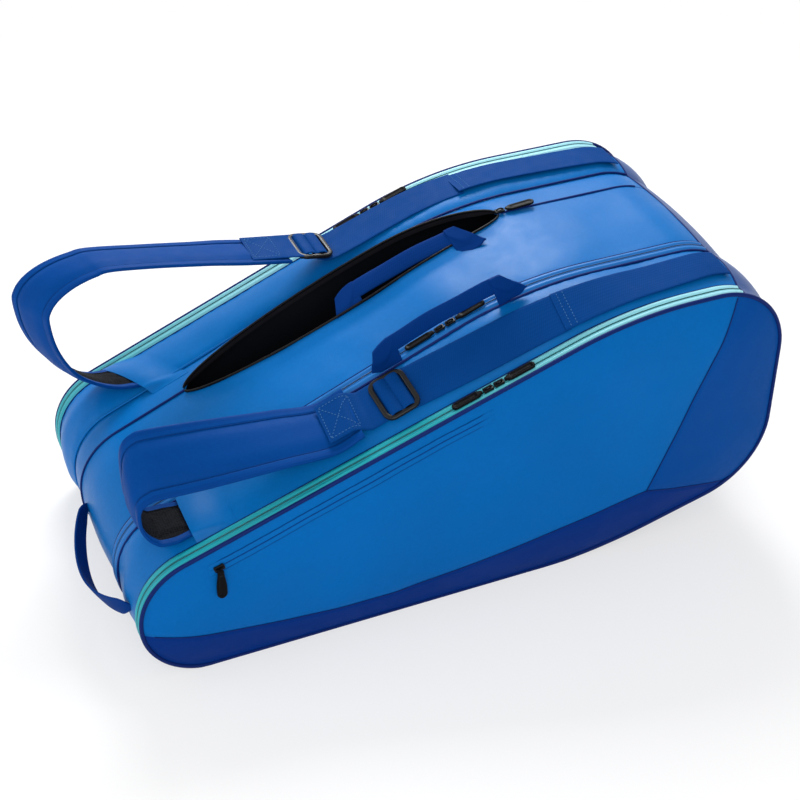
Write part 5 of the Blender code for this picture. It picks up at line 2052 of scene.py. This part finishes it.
@dataclass(frozen=True)
class CarryHandle:
    """A webbing handle folded to a flat hoop on two sewn feet."""

    name: str
    carrier: str
    y: float
    lean: float
    lift: float
    tail_x: float = -0.060
    span: float = 0.154
    foot: float = 0.038
    height: float = 0.040
    grip: float = 0.021
    roll: float = 0.0048
    shift: float = -0.004

    def seat(self) -> tuple[Matrix, float]:
        """Placement of the hoop's foot line, and half the distance between its feet."""
        head_x = self.tail_x + self.span
        tail = Vector((self.tail_x, self.y, FORM.top_z(self.tail_x, self.y)))
        head = Vector((head_x, self.y, FORM.top_z(head_x, self.y)))
        along = (head - tail).normalized()
        out = along.cross(Vector((0, 1, 0)))
        seat = Matrix((along, out, along.cross(out))).transposed().to_4x4()
        seat.translation = (tail + head) / 2 + out * self.lift + along * self.shift
        return seat @ Matrix.Rotation(self.lean, 4, "X"), (head - tail).length / 2

    def build(self, finishes: Finishes) -> None:
        """Build the rolled grip and the two folded feet."""
        seat, reach = self.seat()
        inside = reach - self.foot / 2
        middle = self.height - self.grip / 2
        points = []
        for step in range(41):
            u = mix(-inside - 0.006, inside + 0.006, step / 40)
            arch = 0.003 * math.cos(math.pi * u / inside / 2.2) - 0.002
            points.append(seat @ Vector((u, middle + arch, 0.0008 * math.sin(7 * u / reach))))
        up = (seat.to_3x3() @ Vector((0, 1, 0))).normalized()
        section = []
        for step in range(20):
            a, b = math.cos(math.tau * step / 20), math.sin(math.tau * step / 20)
            a, b = (math.copysign(abs(part) ** 0.7, part) for part in (a, b))
            section.append((a * self.grip / 2, b * self.roll / 2))
        grip = swept("grip", stations_of(points, [up] * len(points)), section)
        smooth(grip, 60)
        feet = [self.make_foot(sign, reach, seat) for sign in (-1, 1)]
        handle = join(f"{self.name}_webbing", [grip, *feet])
        hand_over(dress(handle, finishes.handle), self.name, "deep_blue", self.name)

    def make_foot(self, sign: int, reach: float, seat: Matrix) -> Object:
        """A foot: the webbing folded over to a triangle, upright inside and slanting outside."""
        outside, inside = reach + self.foot / 2, reach - self.foot / 2

        def place(u: float, v: float) -> Vector:
            """Point of the foot's face: the fold's double layer stands out along its upper edge."""
            low = mix(inside - 0.002, outside - 0.004, u)
            high = mix(inside - 0.003, inside + (0.010 if sign > 0 else 0.024), u)
            width = mix(low, high, v)
            foot = 0.04 + 0.10 * ease((u - 0.7) / 0.3)
            crown = 0.97 - (0.03 if sign > 0 else 0.22) * u * u
            layer = 0.0016 * ease((u + v - 0.75) / 0.08) + 0.0014 * math.sin(math.pi * v) * (1.0 - u)
            layer *= ease((v - 0.15) / 0.3)
            return seat @ Vector((sign * width, self.height * mix(foot, crown, v), 0.0008 + layer))

        fold = laid_grid("foot", (24, 24), place, (self.foot, self.height))
        turn_to(fold, seat.to_3x3() @ Vector((0, 0, 1)))
        thicken(fold, 0.0030)
        apply(fold, "BEVEL", width=0.0004, segments=1)
        smooth(fold, 50)
        return fold


@dataclass(frozen=True)
class GrabHandle:
    """The webbing handle that stands out from the tail."""

    far_y: float = 0.034
    span: float = 0.184
    z: float = 0.080
    reach: float = 0.030
    width: float = 0.024
    thickness: float = 0.0022
    droop: float = 0.026
    fullness: float = 0.6
    roll: float = math.radians(30)
    end_round: float = 0.2
    gap: float = 0.0003

    def build(self, finishes: Finishes) -> None:
        """Build the handle as one webbing strip with rounded ends."""
        near_y = self.far_y - self.span
        start_x = FORM.tail_x - self.gap
        route = []
        for step in range(61):
            bow = math.sin(math.pi * step / 60)
            half = self.width / 2 * math.sqrt(min(1.0, 0.05 + bow / self.end_round))
            route.append((start_x - self.reach * bow**self.fullness, self.span * step / 60, half))

        def place(u: float, v: float) -> Vector:
            """Point of the webbing's outer face."""
            x, y, half = route[round(u * (len(route) - 1))]
            droop = self.droop * math.sin(math.pi * y / self.span)
            swell = 0.0007 * math.sin(math.pi * v)
            roll = self.roll * math.sin(math.pi * y / self.span) ** 0.5
            a, b = half * (2.0 * v - 1.0) * math.sin(roll), half * (2.0 * v - 1.0) * math.cos(roll)
            return Vector((x - swell - a, self.far_y - y, self.z - droop + b))

        strip = laid_grid("grab_handle_webbing", (len(route) - 1, 12), place, (self.span, self.width))
        turn_to(strip, Vector((-1, 0, 0)))
        thicken(strip, self.thickness)
        smooth(strip, 60)
        hand_over(dress(strip, finishes.handle), "grab_handle", "deep_blue", "grab_handle")
        LOG.info("grab handle runs from y %.3f to %.3f", near_y, self.far_y)


# Inside


@dataclass(frozen=True)
class Divider:
    """A soft divider between two compartments, quilted in long channels."""

    name: str
    body: str
    y: float
    inset: float = 0.0040
    wall: float = 0.0022
    channel: float = 0.045

    def build(self, finishes: Finishes) -> None:
        """Build the divider and hand it over."""

        def place(u: float, v: float) -> Vector:
            """Point of the divider's face."""
            even = (1.0 - math.cos(math.pi * u)) / 2
            ends = (FORM.tail_x + self.inset, FORM.head_x - self.inset)
            x = mix(*ends, mix(u, even, 0.6))
            low, high = FORM.base_z(x, self.y) + self.inset, FORM.top_z(x, self.y) - self.inset
            z = mix(low, max(low, high), v)
            quilt = 0.0003 * abs(math.sin(math.pi * (z - 0.3 * x) / self.channel))
            return Vector((x, self.y + self.wall / 2 + quilt - 0.0003, z))

        sheet = laid_grid(f"{self.name}_cloth", (90, 40), place, (FORM.length, FORM.height))
        in_edit(sheet, merge(1e-6))
        turn_to(sheet, Vector((0, 1, 0)))
        thicken(sheet, self.wall)
        smooth(sheet, 60)
        hand_over(dress(sheet, finishes.lining), self.body, "lining", self.name)


# Studio


@dataclass(frozen=True)
class Studio:
    """Pale floor, soft light, and a camera where the photograph's camera stood."""

    azimuth: float = math.radians(-22.8)
    elevation: float = math.radians(36.8)
    position: tuple[float, float, float] = (-0.627, -1.472, 1.339)
    focal_pixels: float = 1697.0
    frame_pixels: float = 800.0
    sensor: float = 36.0
    floor_size: float = 40.0

    def build(self) -> None:
        """Build the floor, the lights and the camera."""
        self.set_floor()
        self.set_world()
        self.set_lamp("back_softbox", (0.55, 1.85, 2.0), (0.1, 0.0, 0.2), 1.2, 74.0)
        self.set_lamp("front_softbox", (-1.0, -2.7, 1.7), (0.0, 0.0, 0.12), 2.4, 50.0)
        self.set_lamp("tail_softbox", (-2.4, 0.3, 1.2), (0.0, 0.0, 0.1), 1.6, 12.0)
        self.set_camera()

    def set_floor(self) -> None:
        """A plain pale floor that keeps the shadow."""
        deselect()
        bpy.ops.mesh.primitive_plane_add(size=self.floor_size)
        floor = named("floor")
        nodes = Nodes("floor_paper")
        grain = nodes.noise(Coords.BAG, 180.0, 2.0)
        nodes.set(
            Base_Color=(0.93, 0.93, 0.93, 1.0),
            Roughness=nodes.span(grain, 0.85, 0.95),
            Specular_IOR_Level=0.0,
        )
        away = nodes.add("ShaderNodeVectorMath", {"operation": "LENGTH"}, {0: nodes.where(Coords.BAG)})
        inputs = {"Value": away.outputs["Value"], "From Min": 0.45, "From Max": 1.5, "To Min": 0.55}
        far = nodes.add("ShaderNodeMapRange", {"interpolation_type": "SMOOTHSTEP"}, inputs).outputs["Result"]
        path = nodes.add("ShaderNodeLightPath").outputs
        clear = nodes.math("MAXIMUM", path["Is Glossy Ray"], path["Is Transmission Ray"])
        seen = nodes.math("MAXIMUM", path["Is Camera Ray"], clear)
        paper = nodes.add("ShaderNodeEmission", None, {"Color": (1.0, 1.0, 1.0, 1.0), "Strength": 1.0})
        blend = nodes.add("ShaderNodeMixShader", None, {"Fac": nodes.math("MULTIPLY", far, seen)})
        nodes.feed(blend.inputs[1], nodes.shader.outputs["BSDF"])
        nodes.feed(blend.inputs[2], paper.outputs["Emission"])
        nodes.feed(nodes.tree.nodes["Material Output"].inputs["Surface"], blend.outputs["Shader"])
        dress(floor, nodes.material)
        floor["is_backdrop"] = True

    def set_world(self) -> None:
        """White all round for the camera and for gloss, and a plain level of light."""
        world = bpy.data.worlds.new("studio")
        bpy.context.scene.world = world
        world.use_nodes = True
        tree = world.node_tree
        path = tree.nodes.new("ShaderNodeLightPath")
        sums = path.outputs["Is Camera Ray"]
        for name in ("Is Glossy Ray", "Is Transmission Ray"):
            add = tree.nodes.new("ShaderNodeMath")
            add.operation = "MAXIMUM"
            tree.links.new(sums, add.inputs[0])
            tree.links.new(path.outputs[name], add.inputs[1])
            sums = add.outputs[0]
        level = tree.nodes.new("ShaderNodeMapRange")
        level.inputs["To Min"].default_value = 0.55
        level.inputs["To Max"].default_value = 1.0
        tree.links.new(sums, level.inputs["Value"])
        back = tree.nodes["Background"]
        back.inputs["Color"].default_value = (1.0, 1.0, 1.0, 1.0)
        tree.links.new(level.outputs["Result"], back.inputs["Strength"])

    def set_lamp(self, name: str, at: Sequence[float], aim: Sequence[float], size: float, power: float) -> None:
        """A square softbox.

        Args:
            name: Name of the lamp.
            at: Where it hangs.
            aim: Point that it faces.
            size: Length of its side.
            power: Watts.
        """
        data = bpy.data.lights.new(name, "AREA")
        data.shape = "SQUARE"
        data.size = size
        data.energy = power
        lamp = bpy.data.objects.new(name, data)
        bpy.context.scene.collection.objects.link(lamp)
        lamp.location = at
        lamp.rotation_euler = (Vector(aim) - Vector(at)).to_track_quat("-Z", "Y").to_euler()

    def set_camera(self) -> None:
        """The photograph's camera."""
        data = bpy.data.cameras.new("camera")
        data.sensor_width = self.sensor
        data.lens = self.focal_pixels / self.frame_pixels * self.sensor
        camera = bpy.data.objects.new("camera", data)
        bpy.context.scene.collection.objects.link(camera)
        level = math.cos(self.elevation)
        back = Vector((math.sin(self.azimuth) * level, -math.cos(self.azimuth) * level, math.sin(self.elevation)))
        right = Vector((math.cos(self.azimuth), math.sin(self.azimuth), 0.0))
        turn = Matrix((right, back.cross(right), back)).transposed().to_4x4()
        turn.translation = self.position
        camera.matrix_world = turn
        bpy.context.scene.camera = camera


# Assembly


def build_zips(finishes: Finishes) -> None:
    """Both halves of the two side zips and the middle zip, and the piping beside them."""
    gap = 0.00015
    for side, carrier in ((Side.NEAR, "near_module"), (Side.FAR, "body")):
        word, s = side.word, side.value
        coil = s * FORM.zip_y
        inner = ZipRun(
            f"{word}_zip_inner_tape", carrier, "turquoise", coil - s * gap, coil - s * FORM.tape_width
        )
        outer = ZipRun(
            f"{word}_zip_outer_tape", f"{word}_door", "turquoise", coil + s * gap, s * (FORM.half_width - 0.0006)
        )
        inner.build(finishes.bright_tape)
        outer.build(finishes.bright_tape)
    coil = FORM.centre_zip_y
    ZipRun(
        "centre_zip_near_tape", "near_module", "mid_blue", coil - gap, coil - FORM.tape_width
    ).build(finishes.plain_tape)
    ZipRun(
        "centre_zip_far_tape", "body", "mid_blue", coil + gap, coil + FORM.tape_width
    ).build(finishes.plain_tape)
    lines = (
        ("centre_zip_near_piping", "near_module", coil - FORM.tape_width - 0.0014, 0.0017),
        ("centre_zip_far_piping", "body", coil + FORM.tape_width + 0.0008, 0.0010),
        ("near_zip_inner_piping", "near_module", -FORM.zip_y + FORM.tape_width + 0.0006, 0.0009),
        ("far_zip_inner_piping", "body", FORM.zip_y - FORM.tape_width - 0.0006, 0.0009),
    )
    for name, body, y, radius in lines:
        route = [FORM.place(mix(0.004, 0.996, step / 240), y, Part.TOP, 0.0006) for step in range(241)]
        hand_over(dress(tube(name, route, radius), finishes.piping), body, "navy")
    y, middle = FORM.far_seam_y, FORM.share_at(FAR_SEAM_SHOWS_X, FORM.far_seam_y)
    runs = (("far_seam_piping", middle, 0.996, finishes.piping), ("far_seam_fold", 0.004, middle, finishes.top))
    for name, start, end, finish in runs:
        route = [FORM.place(mix(start, end, step / 120), y, Part.TOP, 0.0006) for step in range(121)]
        hand_over(dress(tube(name, route, 0.0014), finish), "body", "navy")


def sew_end_seams(word: str, body: str, edges: tuple[float, float], finishes: Finishes) -> None:
    """Piping where a compartment's top sheet meets its base sheet, at the head and at the tail.

    Args:
        word: Name of the compartment.
        body: Body that carries both sheets.
        edges: Stations between which the piping runs.
        finishes: The bag's finishes.
    """
    cords = []
    for share in (0.0015, 0.9985):
        route = []
        for step in range(41):
            y = mix(edges[0] + 0.001, edges[1] - 0.001, step / 40)
            route.append(FORM.place(share, y, Part.TOP, FORM.bulge(y) + 0.0002))
        cords.append(tube("seam", route, 0.0012))
    hand_over(dress(join(f"{word}_end_piping", cords), finishes.piping), body, "navy")


def build_body(finishes: Finishes) -> None:
    """The sheets that wrap the compartments, the dividers and the base boards."""
    zip_y, inner, seam = FORM.zip_y - 0.0002, FORM.centre_zip_y, FORM.far_seam_y
    spans = (
        ("near", "near_module", -zip_y, inner - 0.0002),
        ("far", "body", seam, zip_y),
    )
    rim = FORM.half_width - 0.0004
    for word, body, low, high in spans:
        top = Gusset(f"{word}_top_gusset", body, Part.TOP, low, high)
        top.build(finishes.top, finishes.lining, "mid_blue")
        edges = (-rim, high) if word == "near" else (low, rim)
        base = Gusset(f"{word}_base_gusset", body, Part.BASE, *edges, creasing=0.0)
        base.build(finishes.end, finishes.lining, "deep_blue")
        sew_end_seams(word, body, edges, finishes)
    base = Gusset("centre_base_gusset", "body", Part.BASE, inner + 0.0002, seam, creasing=0.0)
    base.build(finishes.end, finishes.lining, "deep_blue")
    sew_end_seams("centre", "body", (inner + 0.0002, seam), finishes)
    ShoeMouth().build(finishes)
    Divider("near_partition", "near_module", -0.08655).build(finishes)
    Divider("shoe_partition", "body", -0.008).build(finishes)
    Divider("far_partition", "body", 0.09855).build(finishes)
    for word in ("near", "centre", "shoe", "far"):
        board = bpy.data.objects[f"{word}_base_board"]
        dress(board, finishes.board)


def write_sizes() -> None:
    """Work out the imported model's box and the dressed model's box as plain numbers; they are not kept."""
    boxes = {"cad": CAD_BOX, "visual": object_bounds()}
    plain = {name: [[float(part) for part in corner] for corner in box] for name, box in boxes.items()}


def main() -> None:
    """Build the studio and every piece of the bag."""
    logging.basicConfig(level=logging.INFO, format="%(name)s: %(message)s")
    bpy.context.scene.view_settings.view_transform = "Standard"
    Studio().build()
    finishes = Finishes()
    build_body(finishes)
    build_zips(finishes)
    for side in Side:
        SidePanel(side).build(finishes)
    SidePocket(SidePanel(Side.NEAR)).build(finishes)
    ZipFittings().build(finishes)
    NearStrap().build(finishes)
    FarStrap().build(finishes)
    CarryHandle("near_handle", "near_module", -0.0962, math.radians(-5), 0.0033).build(finishes)
    CarryHandle("far_handle", "body", 0.006, math.radians(-62), 0.0038).build(finishes)
    GrabHandle().build(finishes)
    write_sizes()


if __name__ == "__main__":
    main()
